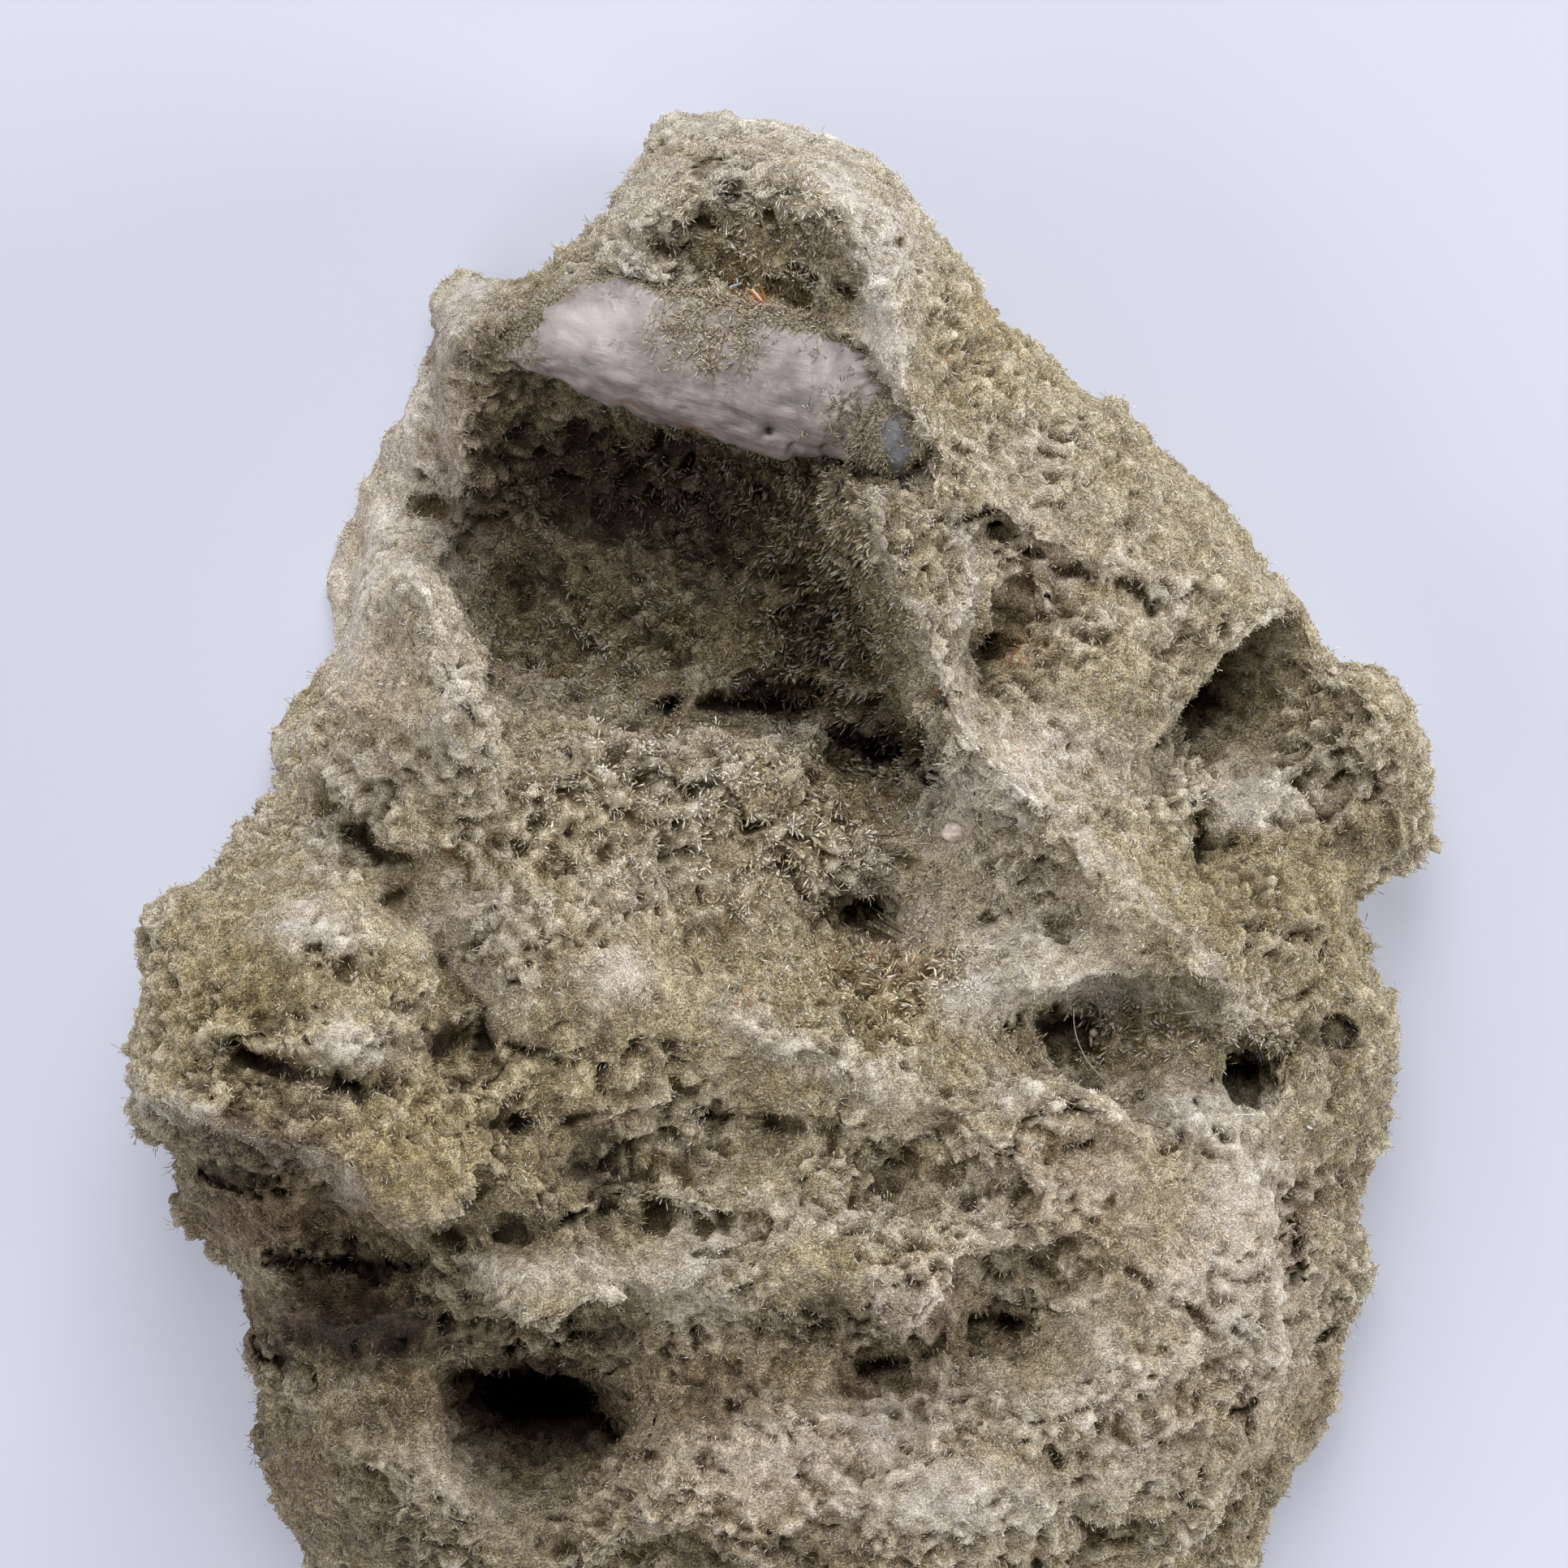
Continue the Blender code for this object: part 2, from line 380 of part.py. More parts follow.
def top_surface(points):
    """Heights of the top for plan points, and the sideways shift that makes its ledges hang over."""
    bent = points
    for size, amount, offset in BENDS:
        bent = wander(bent, size, amount, offset)
    broad = BroadRelief(SPOTS)(bent)
    height = broad.copy()
    shift = np.zeros_like(points)
    leaning = []
    for line, drop, reach, lean in STEPS.values():
        distance, normal, share = along_line(bent, line)
        distance -= lean
        fade = end_taper(share)
        above = 0.5 * (1 + np.tanh(distance / STEP_SOFTNESS))
        rise = drop * (LIP_SHARE * above - (1 - LIP_SHARE) * (1 - above))
        height += fade * rise * np.exp(-np.abs(distance) / reach)
        leaning.append((distance, normal, fade * lean, drop))
    for line, rise, width in CRESTS.values():
        distance, _, share = along_line(bent, line)
        away = np.hypot(distance, CREST_ROUNDING) - CREST_ROUNDING
        height += end_taper(share) * rise * np.exp(-away / width)
    for line, depth, width in GROOVES.values():
        distance, _, share = along_line(bent, line)
        height -= end_taper(share) * depth * np.exp(-((distance / width) ** 2))
    patches = points / RAGGED_SIZE
    ragged = np.array([noise.noise((east, north, RAGGED_OFFSET)) for east, north in patches])
    ragged = 1 + RAGGEDNESS * ragged
    for centre, radii, turn, depth in HOLLOWS.values():
        height -= depth * hollow_share(bent, ragged, centre, radii, turn)
    for distance, normal, lean, drop in leaning:
        least, most = LEANING_RISE
        raised = smooth_step(least * abs(drop), most * abs(drop), height - broad)
        near = np.exp(-((distance / LEAN_REACH) ** 2))
        shift -= normal * (lean * raised * near)[:, None]
    return height, shift


def outline_reach(angles, outline, centre):
    """Distance from the centre to the outline in each direction."""
    corners = plan(outline) - centre
    ends = np.roll(corners, -1, axis=0)
    direction = np.stack([np.cos(angles), np.sin(angles)], axis=1)
    reach = np.zeros(len(angles))
    for start, end in zip(corners, ends):
        edge = end - start
        cross = direction[:, 0] * edge[1] - direction[:, 1] * edge[0]
        safe = np.where(np.abs(cross) < 1e-12, 1e-12, cross)
        distance = (start[0] * edge[1] - start[1] * edge[0]) / safe
        place = (start[0] * direction[:, 1] - start[1] * direction[:, 0]) / safe
        hit = (place >= -1e-6) & (place <= 1 + 1e-6) & (distance > 0)
        reach = np.where(hit & (distance > reach), distance, reach)
    return reach


def shaped_by_relief(directions):
    """Moves the points of a unit ball to the lump: upper half to the top, lower half to wall and base."""
    centre = plan(RADIAL_CENTRE)[0]
    angles = np.arctan2(directions[:, 1], directions[:, 0])
    reach = outline_reach(angles, OUTLINE, centre) + OUTLINE_GROWTH
    aim = np.stack([np.cos(angles), np.sin(angles)], axis=1)
    level = np.sqrt(1 - np.abs(directions[:, 2]))
    rim = centre + aim * reach[:, None]
    rim_height, _ = top_surface(rim)
    waist = np.clip(WAIST_SHARE * rim_height, LEAST_WAIST, None)
    upper = directions[:, 2] >= 0

    plan_top = centre + aim * (level * reach)[:, None]
    height, shift = top_surface(plan_top)
    turned = np.clip((level - 1 + EDGE_ROUND_SHARE) / EDGE_ROUND_SHARE, 0, 1)
    rounded = waist + (height - waist) * np.sqrt(1 - turned**2)
    inside = (1 - turned)[:, None]
    top = np.column_stack([plan_top + shift * inside, rounded])

    down = np.clip((1 - level) / WALL_SHARE, 0, 1)
    tucked = 1 - BASE_INSET * down**BASE_TUCK_POWER
    spread = np.where(down < 1, tucked, (1 - BASE_INSET) * level / (1 - WALL_SHARE))
    wall_height = waist * (1 - down) - BASE_DEPTH * down
    below = np.column_stack([centre + aim * (spread * reach)[:, None], wall_height])
    return np.where(upper[:, None], top, below)


def crust(points, normals, scale=1.0):
    """Rough broken skin: lumps, then grains, pushed along the normals."""
    moved = points.copy()
    for index, (point, normal) in enumerate(zip(points, normals)):
        place = Vector(point)
        lumps = noise.fractal(place / LUMP_SIZE, 1.0, 2.0, 2)
        grains = noise.fractal(place / GRAIN_SIZE + Vector(GRAIN_SHIFT), 0.9, 2.0, 2)
        moved[index] += normal * scale * (LUMP_HEIGHT * lumps + GRAIN_HEIGHT * grains)
    return moved


def read_points(mesh):
    points = np.empty(len(mesh.vertices) * 3)
    mesh.vertices.foreach_get("co", points)
    return points.reshape(-1, 3)


def read_normals(mesh):
    normals = np.empty(len(mesh.vertices) * 3)
    mesh.vertex_normals.foreach_get("vector", normals)
    return normals.reshape(-1, 3)


def write_points(mesh, points):
    mesh.vertices.foreach_set("co", points.ravel())
    mesh.update()


def evaluated_mesh(obj):
    """The object's mesh with its modifiers applied, as a new mesh."""
    graph = bpy.context.evaluated_depsgraph_get()
    graph.update()
    return bpy.data.meshes.new_from_object(obj.evaluated_get(graph))


def with_modifiers(obj):
    """Applies the object's modifiers to its mesh."""
    made = evaluated_mesh(obj)
    obj.modifiers.clear()
    obj.data = made
    return obj


def new_object(name, mesh):
    obj = bpy.data.objects.new(name, mesh)
    bpy.context.scene.collection.objects.link(obj)
    return obj


def cut_flat_base(mesh):
    """Cuts the lump off level at its base and fills the cut."""
    work = bmesh.new()
    work.from_mesh(mesh)
    geometry = work.verts[:] + work.edges[:] + work.faces[:]
    down = (0, 0, -1)
    cut = bmesh.ops.bisect_plane(work, geom=geometry, plane_co=(0, 0, 0), plane_no=down, clear_outer=True)
    edges = [item for item in cut["geom_cut"] if isinstance(item, bmesh.types.BMEdge)]
    bmesh.ops.holes_fill(work, edges=edges, sides=0)
    bmesh.ops.triangulate(work, faces=work.faces[:])
    bmesh.ops.recalc_face_normals(work, faces=work.faces[:])
    work.to_mesh(mesh)
    work.free()


def to_middle(mesh):
    """The small sideways move that brings the middle of the mesh's plan over the origin."""
    points = read_points(mesh)
    middle = (points.min(axis=0) + points.max(axis=0)) / 2
    return Matrix.Translation((-middle[0], -middle[1], 0.0))


def stone_finish(name, colour, roughness):
    material = bpy.data.materials.new(name)
    material.use_nodes = True
    shader = material.node_tree.nodes["Principled BSDF"]
    shader.inputs["Base Color"].default_value = (*colour, 1.0)
    shader.inputs["Roughness"].default_value = roughness
    shader.inputs["Metallic"].default_value = 0.0
    return material


def ball(subdivisions):
    work = bmesh.new()
    bmesh.ops.create_icosphere(work, subdivisions=subdivisions, radius=1.0)
    mesh = bpy.data.meshes.new("ball")
    work.to_mesh(mesh)
    work.free()
    return mesh


def fine_lump(ball_subdivisions=7):
    """The lump as a close, even mesh in millimetres, before it is thinned."""
    mesh = ball(ball_subdivisions)
    write_points(mesh, shaped_by_relief(read_points(mesh)))
    lump = new_object("rock", mesh)
    remesh = lump.modifiers.new("even", "REMESH")
    remesh.mode = "VOXEL"
    remesh.voxel_size = REMESH_SIZE
    with_modifiers(lump)
    write_points(lump.data, crust(read_points(lump.data), read_normals(lump.data)))
    return lump


def lens_levels(points):
    """Middle height and half thickness of the quartz along its length."""
    columns = points[:, 0] / PLAN_STEP + PLAN_MIDDLE[0]
    stations = [LENS_LEFT, LENS_RIGHT, LENS_KNOB]
    places, middles, halves = zip(*stations)
    return np.interp(columns, places, middles), np.interp(columns, places, halves)


def lens_shape(directions, grow, lid=None):
    """Moves the points of a unit ball to the quartz body, grown by a margin, its top raised to a lid."""
    centre = plan(LENS_CENTRE)[0]
    angles = np.arctan2(directions[:, 1], directions[:, 0])
    reach = outline_reach(angles, LENS_OUTLINE, centre)
    aim = np.stack([np.cos(angles), np.sin(angles)], axis=1)
    level = np.sqrt(1 - np.abs(directions[:, 2]))
    stretch = 1 + grow / np.array([LENS_HALF_LENGTH, LENS_HALF_WIDTH])
    points = centre + aim * (level * reach)[:, None] * stretch
    middle, half = lens_levels(points)
    fullness, roundness = LENS_ROUNDING
    swell = (1 - level**fullness) ** roundness * (half + grow)
    upper = directions[:, 2] > 0
    height = np.where(upper, middle + swell, middle - swell)
    if lid is not None:
        height = np.where(upper, np.where(level < POCKET_EDGE, lid, middle), height)
    return np.column_stack([points, height])


def quartz_lens():
    mesh = ball(6)
    write_points(mesh, lens_shape(read_points(mesh), 0.0))
    lens = new_object("quartz_lens", mesh)
    remesh = lens.modifiers.new("even", "REMESH")
    remesh.mode = "VOXEL"
    remesh.voxel_size = LENS_REMESH
    with_modifiers(lens)
    write_points(lens.data, crust(read_points(lens.data), read_normals(lens.data), LENS_ROUGHNESS))
    thin = lens.modifiers.new("thin", "DECIMATE")
    thin.ratio = LENS_FACES / (2 * len(lens.data.polygons))
    return with_modifiers(lens)


def lens_pocket():
    """The space in the lump that holds the quartz, open upwards."""
    mesh = ball(4)
    write_points(mesh, lens_shape(read_points(mesh), POCKET_MARGIN, POCKET_TOP))
    pocket = new_object("lens pocket", mesh)
    pocket.hide_render = True
    pocket.display_type = "WIRE"
    return pocket


def main():
    for obj in list(bpy.data.objects):
        bpy.data.objects.remove(obj)
    rock = fine_lump()
    cut_flat_base(rock.data)
    thin = rock.modifiers.new("thin", "DECIMATE")
    thin.ratio = ROCK_FACES / len(rock.data.polygons)
    with_modifiers(rock)
    lens = quartz_lens()
    pocket = lens_pocket()
    centring = to_middle(rock.data)
    for piece in (rock, lens, pocket):
        piece.data.transform(Matrix.Scale(MM, 4) @ centring)
    room = rock.modifiers.new("room for the quartz", "BOOLEAN")
    room.operation = "DIFFERENCE"
    room.object = pocket
    rock.data.materials.append(stone_finish("johannsenite", (0.33, 0.28, 0.18), 0.8))
    lens.data.materials.append(stone_finish("quartz", (0.62, 0.56, 0.55), 0.35))


if __name__ == "__main__":
    main()
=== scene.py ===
"""The johannsenite lump's looks: its ragged skin, the felt of needles on it, the quartz, dust and lint.

Lengths are millimetres until a mesh is finished, and then become metres. Plan places are (column, row) in a
view from straight above, with PLAN_STEP millimetres to a column.
"""

import math

import bmesh
import bpy
import numpy as np
from mathutils import Matrix, Vector, noise
from mathutils.bvhtree import BVHTree


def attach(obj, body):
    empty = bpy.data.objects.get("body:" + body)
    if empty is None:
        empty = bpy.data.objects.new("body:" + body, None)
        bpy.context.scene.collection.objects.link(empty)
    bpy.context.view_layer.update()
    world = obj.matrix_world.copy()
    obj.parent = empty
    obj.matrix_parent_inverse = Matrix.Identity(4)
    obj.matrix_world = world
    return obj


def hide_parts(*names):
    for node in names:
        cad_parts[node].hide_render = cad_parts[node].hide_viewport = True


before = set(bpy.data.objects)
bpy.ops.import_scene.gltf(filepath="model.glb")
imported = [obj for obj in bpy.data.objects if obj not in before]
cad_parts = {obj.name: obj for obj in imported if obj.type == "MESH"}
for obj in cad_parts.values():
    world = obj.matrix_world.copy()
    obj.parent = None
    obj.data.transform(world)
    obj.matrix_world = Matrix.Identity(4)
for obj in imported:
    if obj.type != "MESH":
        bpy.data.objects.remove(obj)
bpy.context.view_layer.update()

MM = 0.001
PLAN_STEP = 40.7 / 1629.0
PLAN_MIDDLE = (965.36, 1185.07)
SEED = 20

# The camera looks straight down on the middle of the view.
VIEW_COLUMNS = 1932.0
VIEW_MIDDLE = (966.0, 966.0)
FOCUS_HEIGHT = 14.0
CAMERA_DISTANCE = 1000.0
SENSOR = 36.0

# The lamps: compass direction and height in degrees, and power. 0 is the view's upper side, 90 its right.
LAMP_SIZE = 260.0
LAMP_DISTANCE = 600.0
LAMPS = {
    "window_low": (0, 20, 1.67), "window_middle": (0, 45, 1.44), "window_high": (0, 70, 1.30),
    "right_low": (90, 20, 2.8), "lower_right_low": (135, 20, 1.17), "left_middle": (-90, 45, 0.86),
    "lower_left_middle": (-135, 45, 0.69), "lower_left_low": (-135, 20, 0.62),
}
ROOM_LOW = 0.35
ROOM_HIGH = 0.03

# The skin lies this far under the lump's outer form, and the needles reach back up to it.
SKIN_VOXEL = 0.16
SKIN_CUTS = (-10.5, 0.0, 9.5)
FEWEST_FACES = 200
SKIN_SINK = 0.12
CLUMP_SIZE = (0.9, 0.62, 0.7)
CLUMP_BEND = 0.3
CLUMP_HEIGHT = 0.34
GRAINS = ((2.4, 0.22), (0.9, 0.17), (0.42, 0.12), (0.24, 0.07))
SPECK_SIZE = (1.0, 0.7, 0.8)
SPECK_DEPTH = 0.42
CALM = (0.45, 1.25)
CALM_SIZE = 3.2
MAT_SIZE = 0.34
MAT_HEIGHT = 0.09
COARSE_RELIEF = 0.7
# Painted shade: the skin's tone is lowered by this much among the coarse crystals.
SKIN_SHADE_AMONG_COARSE = 0.22

# How often the skin is smoothed to find the crumbs, and then the large forms, that stand out of it.
CRUMB_ROUNDS = 12
FORM_ROUNDS = 130
# Painted light and shade: the tone is raised on crests and lowered in hollows by this much.
LIGHT_AND_SHADE_BY_FORM = 0.30
TONE_BY_CLUMP = 0.34

# The skin swells against the lens, so that no gap shows.
SEAM_REACH = 1.0
SEAM_FILL = 0.4

NEEDLES_A_PIECE = 49000
TUFT_COUNT = 33500
NEEDLES_A_TUFT = 7
TUFT_SPREAD = 0.10
NEEDLE_LENGTH = (0.09, 0.5)
NEEDLE_HALF_WIDTH = (0.010, 0.024)
NEEDLE_ROOT = 0.05
WHITE_SHARE = 0.13

# Pits and cracks too small for the lump's solid, as centre, radii, turn in degrees and depth.
PITS = [
    ((870, 208), (0.5, 0.3), 20, 0.6), ((905, 232), (0.35, 0.3), 0, 0.6), ((946, 262), (0.3, 0.25), 0, 0.5),
    ((812, 300), (0.3, 0.2), 0, 0.5), ((862, 268), (0.5, 0.2), -20, 0.5),
    ((985, 330), (0.5, 0.25), -25, 0.6), ((1040, 356), (0.4, 0.25), -30, 0.6),
    ((1226, 640), (0.4, 0.3), 0, 0.9), ((1330, 706), (0.6, 0.15), -15, 0.6),
    ((1400, 730), (0.5, 0.15), -25, 0.6), ((1270, 680), (0.6, 0.15), -20, 0.7),
    ((1478, 1045), (0.25, 0.7), 0, 0.8), ((452, 1042), (0.6, 0.3), -40, 0.9),
    ((486, 1106), (0.5, 0.22), 30, 0.5), ((600, 1280), (0.22, 0.75), 12, 0.9),
    ((548, 1284), (0.85, 0.5), 25, 0.5), ((936, 1018), (0.5, 0.15), 10, 0.7),
    ((915, 1012), (0.2, 0.3), 0, 0.6), ((1052, 1128), (0.5, 0.22), -35, 0.8),
    ((1215, 1134), (0.35, 0.15), 0, 0.5), ((1010, 1240), (0.25, 0.2), 0, 0.4),
    ((880, 1372), (0.6, 0.2), -10, 0.7), ((960, 1384), (0.6, 0.2), 0, 0.6),
    ((700, 1500), (0.5, 0.15), 20, 0.6), ((750, 1488), (0.4, 0.15), 0, 0.6),
    ((640, 1382), (0.5, 0.2), 10, 0.5), ((1245, 1630), (0.7, 0.25), 40, 0.9),
    ((1090, 1684), (0.6, 0.2), 0, 0.8), ((905, 1735), (0.4, 0.2), 0, 0.6),
    ((800, 1795), (0.4, 0.25), 0, 0.6), ((1534, 1316), (1.0, 0.4), 28, 0.8),
    ((1540, 1735), (0.6, 0.15), 20, 0.6), ((1262, 1776), (0.12, 0.12), 0, 0.5),
    ((1170, 868), (0.4, 0.2), -30, 0.5), ((830, 862), (0.3, 0.2), 0, 0.7),
    ((1655, 1640), (0.7, 0.15), 35, 0.9), ((1600, 1540), (0.2, 0.6), 10, 0.6),
    ((1102, 300), (0.3, 0.2), 0, 0.4), ((925, 868), (1.9, 0.3), 3, 1.1),
    ((1090, 930), (1.3, 0.35), -20, 1.2), ((826, 870), (0.35, 0.25), 0, 0.9),
    ((672, 1712), (1.9, 0.75), -20, 1.5), ((335, 1262), (0.8, 0.5), 0, 0.6),
    ((365, 1318), (2.2, 0.35), -14, 0.7), ((618, 1386), (0.9, 0.5), 30, 0.5),
    ((285, 1452), (1.6, 0.4), -8, 0.8), ((720, 1440), (0.9, 0.3), 12, 0.5),
    ((330, 1668), (1.0, 0.5), -30, 0.7), ((425, 1562), (1.9, 0.25), -3, 1.2),
    ((1300, 1262), (1.5, 0.4), 3, 0.7), ((1128, 602), (0.25, 0.15), 0, 0.15),
    ((1480, 860), (0.7, 0.6), 30, 0.7), ((885, 1545), (0.9, 0.15), 5, 0.4),
    ((590, 1470), (0.5, 0.2), 30, 0.5), ((1170, 1395), (0.3, 0.15), 0, 0.4),
    ((1330, 1410), (0.5, 0.15), 10, 0.5), ((420, 1190), (0.5, 0.4), 0, 0.5),
    ((1180, 555), (0.3, 0.15), -20, 0.4), ((1290, 560), (0.4, 0.15), -20, 0.4),
]

# Soft hills and dells on the skin, as centre, radii, turn in degrees and height.
FORMS = [
    ((385, 1145), (1.8, 1.1), 0, 0.5), ((445, 1290), (1.8, 0.9), 10, 0.5),
    ((330, 1240), (1.8, 0.6), -10, -0.55), ((310, 1352), (2.6, 0.7), -12, -0.6),
    ((600, 1130), (1.9, 1.3), 20, 0.45), ((720, 1190), (2.0, 1.5), 0, 0.4),
    ((725, 1430), (1.9, 1.1), 0, -0.7), ((500, 1450), (1.8, 1.5), 0, 0.5),
    ((1020, 1625), (1.7, 0.7), 0, -0.6), ((855, 1715), (1.8, 0.7), 5, -0.5),
    ((1190, 1850), (2.8, 1.0), 5, 0.4), ((1260, 1170), (2.2, 1.3), -30, 0.35),
    ((1470, 1372), (1.9, 0.9), -20, 0.35), ((1100, 1335), (1.7, 0.9), -20, 0.35),
    ((880, 1535), (1.6, 0.8), 0, 0.35), ((540, 860), (1.2, 2.4), 8, 0.35),
    ((1360, 1690), (1.5, 1.9), 20, 0.3), ((640, 1515), (1.8, 0.6), 10, -0.45),
    ((1210, 810), (0.7, 1.5), -8, -0.5), ((1405, 885), (0.9, 0.9), 0, -0.35),
    ((450, 1335), (1.4, 0.5), -15, -0.5), ((1330, 1212), (1.8, 0.6), 0, 0.4),
    ((1215, 1225), (1.0, 0.8), 0, 0.4), ((1645, 1285), (0.75, 0.75), 0, 0.7),
    ((1240, 985), (1.2, 1.2), 0, 0.3), ((860, 1150), (1.7, 0.7), 0, -0.3),
    ((930, 1000), (2.2, 0.5), 0, -0.3), ((1050, 1070), (1.2, 1.0), 0, 0.3),
    ((1128, 600), (0.9, 0.5), -15, 0.7), ((1085, 606), (0.8, 0.4), -10, 0.4),
]

# Cracks, as a line in the plan, a half width in millimetres and a depth.
CRACKS = [
    ([(1180, 642), (1212, 636), (1232, 650), (1262, 672), (1300, 690), (1334, 706), (1352, 712)], 0.13, 0.7),
    ([(1375, 716), (1400, 728), (1426, 748)], 0.12, 0.6),
    ([(600, 1330), (680, 1372), (740, 1380)], 0.14, 0.5),
    ([(840, 1370), (900, 1376), (990, 1384)], 0.14, 0.6),
    ([(1300, 1548), (1380, 1556), (1440, 1590)], 0.12, 0.4),
    ([(1440, 1600), (1500, 1650), (1545, 1700)], 0.12, 0.4),
    ([(440, 1030), (462, 1050), (500, 1062)], 0.16, 0.7),
    ([(548, 1180), (572, 1210), (590, 1240)], 0.14, 0.5),
    ([(1480, 1010), (1478, 1060), (1486, 1100)], 0.14, 0.6),
    ([(560, 1330), (600, 1300), (640, 1290)], 0.14, 0.5),
    ([(700, 1640), (760, 1650), (800, 1630)], 0.16, 0.6),
    ([(1060, 1690), (1120, 1678), (1170, 1650)], 0.16, 0.6),
    ([(700, 1500), (800, 1486), (900, 1490)], 0.12, 0.4),
]

# White dust: lines along crests, with a width in plan columns and a strength. Here and below, a patch is a
# centre and radii in plan columns, and a strength.
DUST_LINES = [
    ([(1030, 210), (1075, 280), (1088, 360), (1092, 470)], 34, 1.0),
    ([(1082, 600), (1086, 680), (1130, 760), (1165, 830), (1190, 905)], 17, 0.58),
    ([(1190, 905), (1240, 950), (1290, 985), (1345, 1050)], 20, 0.5),
    ([(1345, 1050), (1405, 1105), (1465, 1160), (1512, 1212), (1562, 1280)], 12, 0.45),
    ([(600, 1572), (700, 1560), (800, 1570), (880, 1550)], 34, 0.6),
    ([(1090, 1590), (1150, 1600)], 24, 0.5),
    ([(900, 1250), (960, 1290), (1040, 1310), (1100, 1345)], 26, 0.45),
    ([(1230, 1745), (1330, 1720), (1450, 1680), (1560, 1600), (1597, 1540)], 26, 0.45),
    ([(160, 1350), (220, 1372), (300, 1400), (380, 1430), (430, 1470)], 16, 0.8),
    ([(500, 690), (540, 760), (575, 860)], 40, 0.6), ([(850, 146), (960, 150), (1060, 190)], 30, 0.7),
    ([(560, 340), (520, 430), (490, 560), (440, 660), (410, 780)], 60, 1.0),
    ([(700, 350), (760, 345), (830, 355)], 20, 0.8),
    ([(1180, 630), (1200, 690), (1190, 780), (1200, 870)], 14, 0.6),
]
DUST_PATCHES = [
    ((385, 1142), (60, 28), 0.9), ((445, 1290), (62, 28), 0.8), ((430, 1468), (24, 28), 0.9),
    ((1260, 1165), (100, 80), 0.6), ((1350, 1222), (80, 26), 0.9), ((1470, 1366), (90, 46), 0.8),
    ((1180, 985), (60, 90), 0.7), ((1060, 1080), (60, 50), 0.5), ((600, 1130), (90, 50), 0.5),
    ((1130, 1135), (70, 40), 0.7), ((620, 1200), (60, 60), 0.35), ((410, 1045), (40, 40), 0.5),
    ((860, 1610), (70, 30), 0.5), ((540, 610), (50, 70), 0.9), ((1060, 290), (40, 60), 0.7),
    ((780, 312), (50, 40), 0.8), ((1440, 740), (50, 40), 0.5), ((940, 836), (60, 16), 0.4),
    ((1000, 900), (36, 16), 0.6), ((1210, 1500), (50, 80), 0.35), ((560, 1800), (60, 50), 0.4),
    ((1215, 1230), (60, 40), 1.0), ((978, 894), (44, 20), 0.7), ((1340, 1350), (60, 30), 0.4),
    ((1500, 1250), (60, 40), 0.4), ((870, 1525), (60, 50), 0.5), ((1360, 1690), (60, 90), 0.5),
    ((1545, 1640), (60, 70), 0.5), ((1170, 1850), (120, 50), 0.9), ((1090, 1765), (90, 50), 0.8),
    ((1040, 1860), (60, 50), 0.6), ((1105, 1330), (50, 40), 0.4), ((1205, 1465), (40, 70), 0.3),
    ((560, 650), (40, 80), 0.8), ((1280, 550), (80, 50), 0.35), ((1560, 800), (50, 40), 0.3),
    ((830, 990), (60, 70), 0.35), ((1130, 560), (36, 50), 0.5), ((650, 850), (90, 30), 0.35),
    ((440, 950), (60, 60), 0.4), ((250, 1650), (50, 60), 0.4), ((1250, 980), (60, 50), 0.8),
    ((540, 920), (50, 60), 0.4), ((790, 235), (50, 90), 0.5), ((835, 150), (36, 22), 0.7),
    ((960, 175), (80, 26), 0.45), ((560, 500), (44, 110), 0.5), ((560, 335), (50, 26), 1.0),
    ((430, 700), (50, 110), 0.6), ((345, 900), (26, 40), 0.4), ((1290, 930), (110, 60), 0.7),
    ((1390, 930), (80, 60), 0.45), ((1550, 985), (60, 40), 1.0), ((1250, 600), (60, 40), 0.3),
    ((1380, 660), (80, 40), 0.25), ((760, 1200), (60, 44), 0.75), ((640, 1150), (50, 40), 0.3),
    ((1240, 1348), (36, 26), 0.7), ((1330, 1440), (90, 60), 0.45), ((1530, 1470), (70, 90), 0.7),
    ((1110, 1625), (56, 40), 0.6), ((1290, 1130), (70, 70), 0.35), ((1370, 1190), (60, 30), 0.3),
    ((1400, 1800), (110, 60), 0.4), ((980, 1800), (160, 70), 0.55), ((560, 1850), (90, 50), 0.4),
    ((620, 1000), (60, 90), 0.25), ((470, 830), (40, 90), 0.3), ((1010, 1500), (120, 24), 0.35),
    ((1710, 1060), (40, 20), 0.35), ((730, 960), (90, 50), 0.25), ((1180, 1720), (90, 60), 0.35),
    ((960, 1020), (40, 24), 0.3), ((1090, 300), (44, 66), 0.95), ((1350, 660), (130, 80), 0.28),
    ((1300, 945), (80, 50), 0.6), ((800, 1090), (120, 70), 0.42), ((1515, 1575), (90, 100), 0.7),
    ((910, 220), (100, 50), 0.5), ((830, 940), (120, 40), 0.35), ((575, 345), (40, 40), 1.0),
    ((405, 720), (44, 110), 0.9), ((1380, 1250), (60, 30), 0.3),
]

# Dust that reaches down the steep side.
LOW_DUST = [((400, 720), (60, 130), 1.0)]

# Specks of rust.
RUST_PATCHES = [
    ((908, 350), (14, 8), 1.0), ((934, 362), (14, 10), 1.0), ((1215, 377), (7, 12), 1.0),
    ((1166, 430), (10, 8), 0.8), ((1262, 806), (26, 16), 0.8), ((1236, 800), (12, 18), 0.6),
    ((1256, 926), (16, 8), 1.0), ((916, 1236), (9, 8), 0.8), ((1110, 1190), (46, 46), 0.4),
    ((1265, 1425), (7, 6), 0.9), ((1160, 862), (20, 6), 0.5), ((1105, 970), (16, 6), 0.5),
    ((560, 1040), (8, 6), 0.5), ((1030, 1180), (12, 8), 0.5), ((1248, 470), (8, 6), 0.4),
]

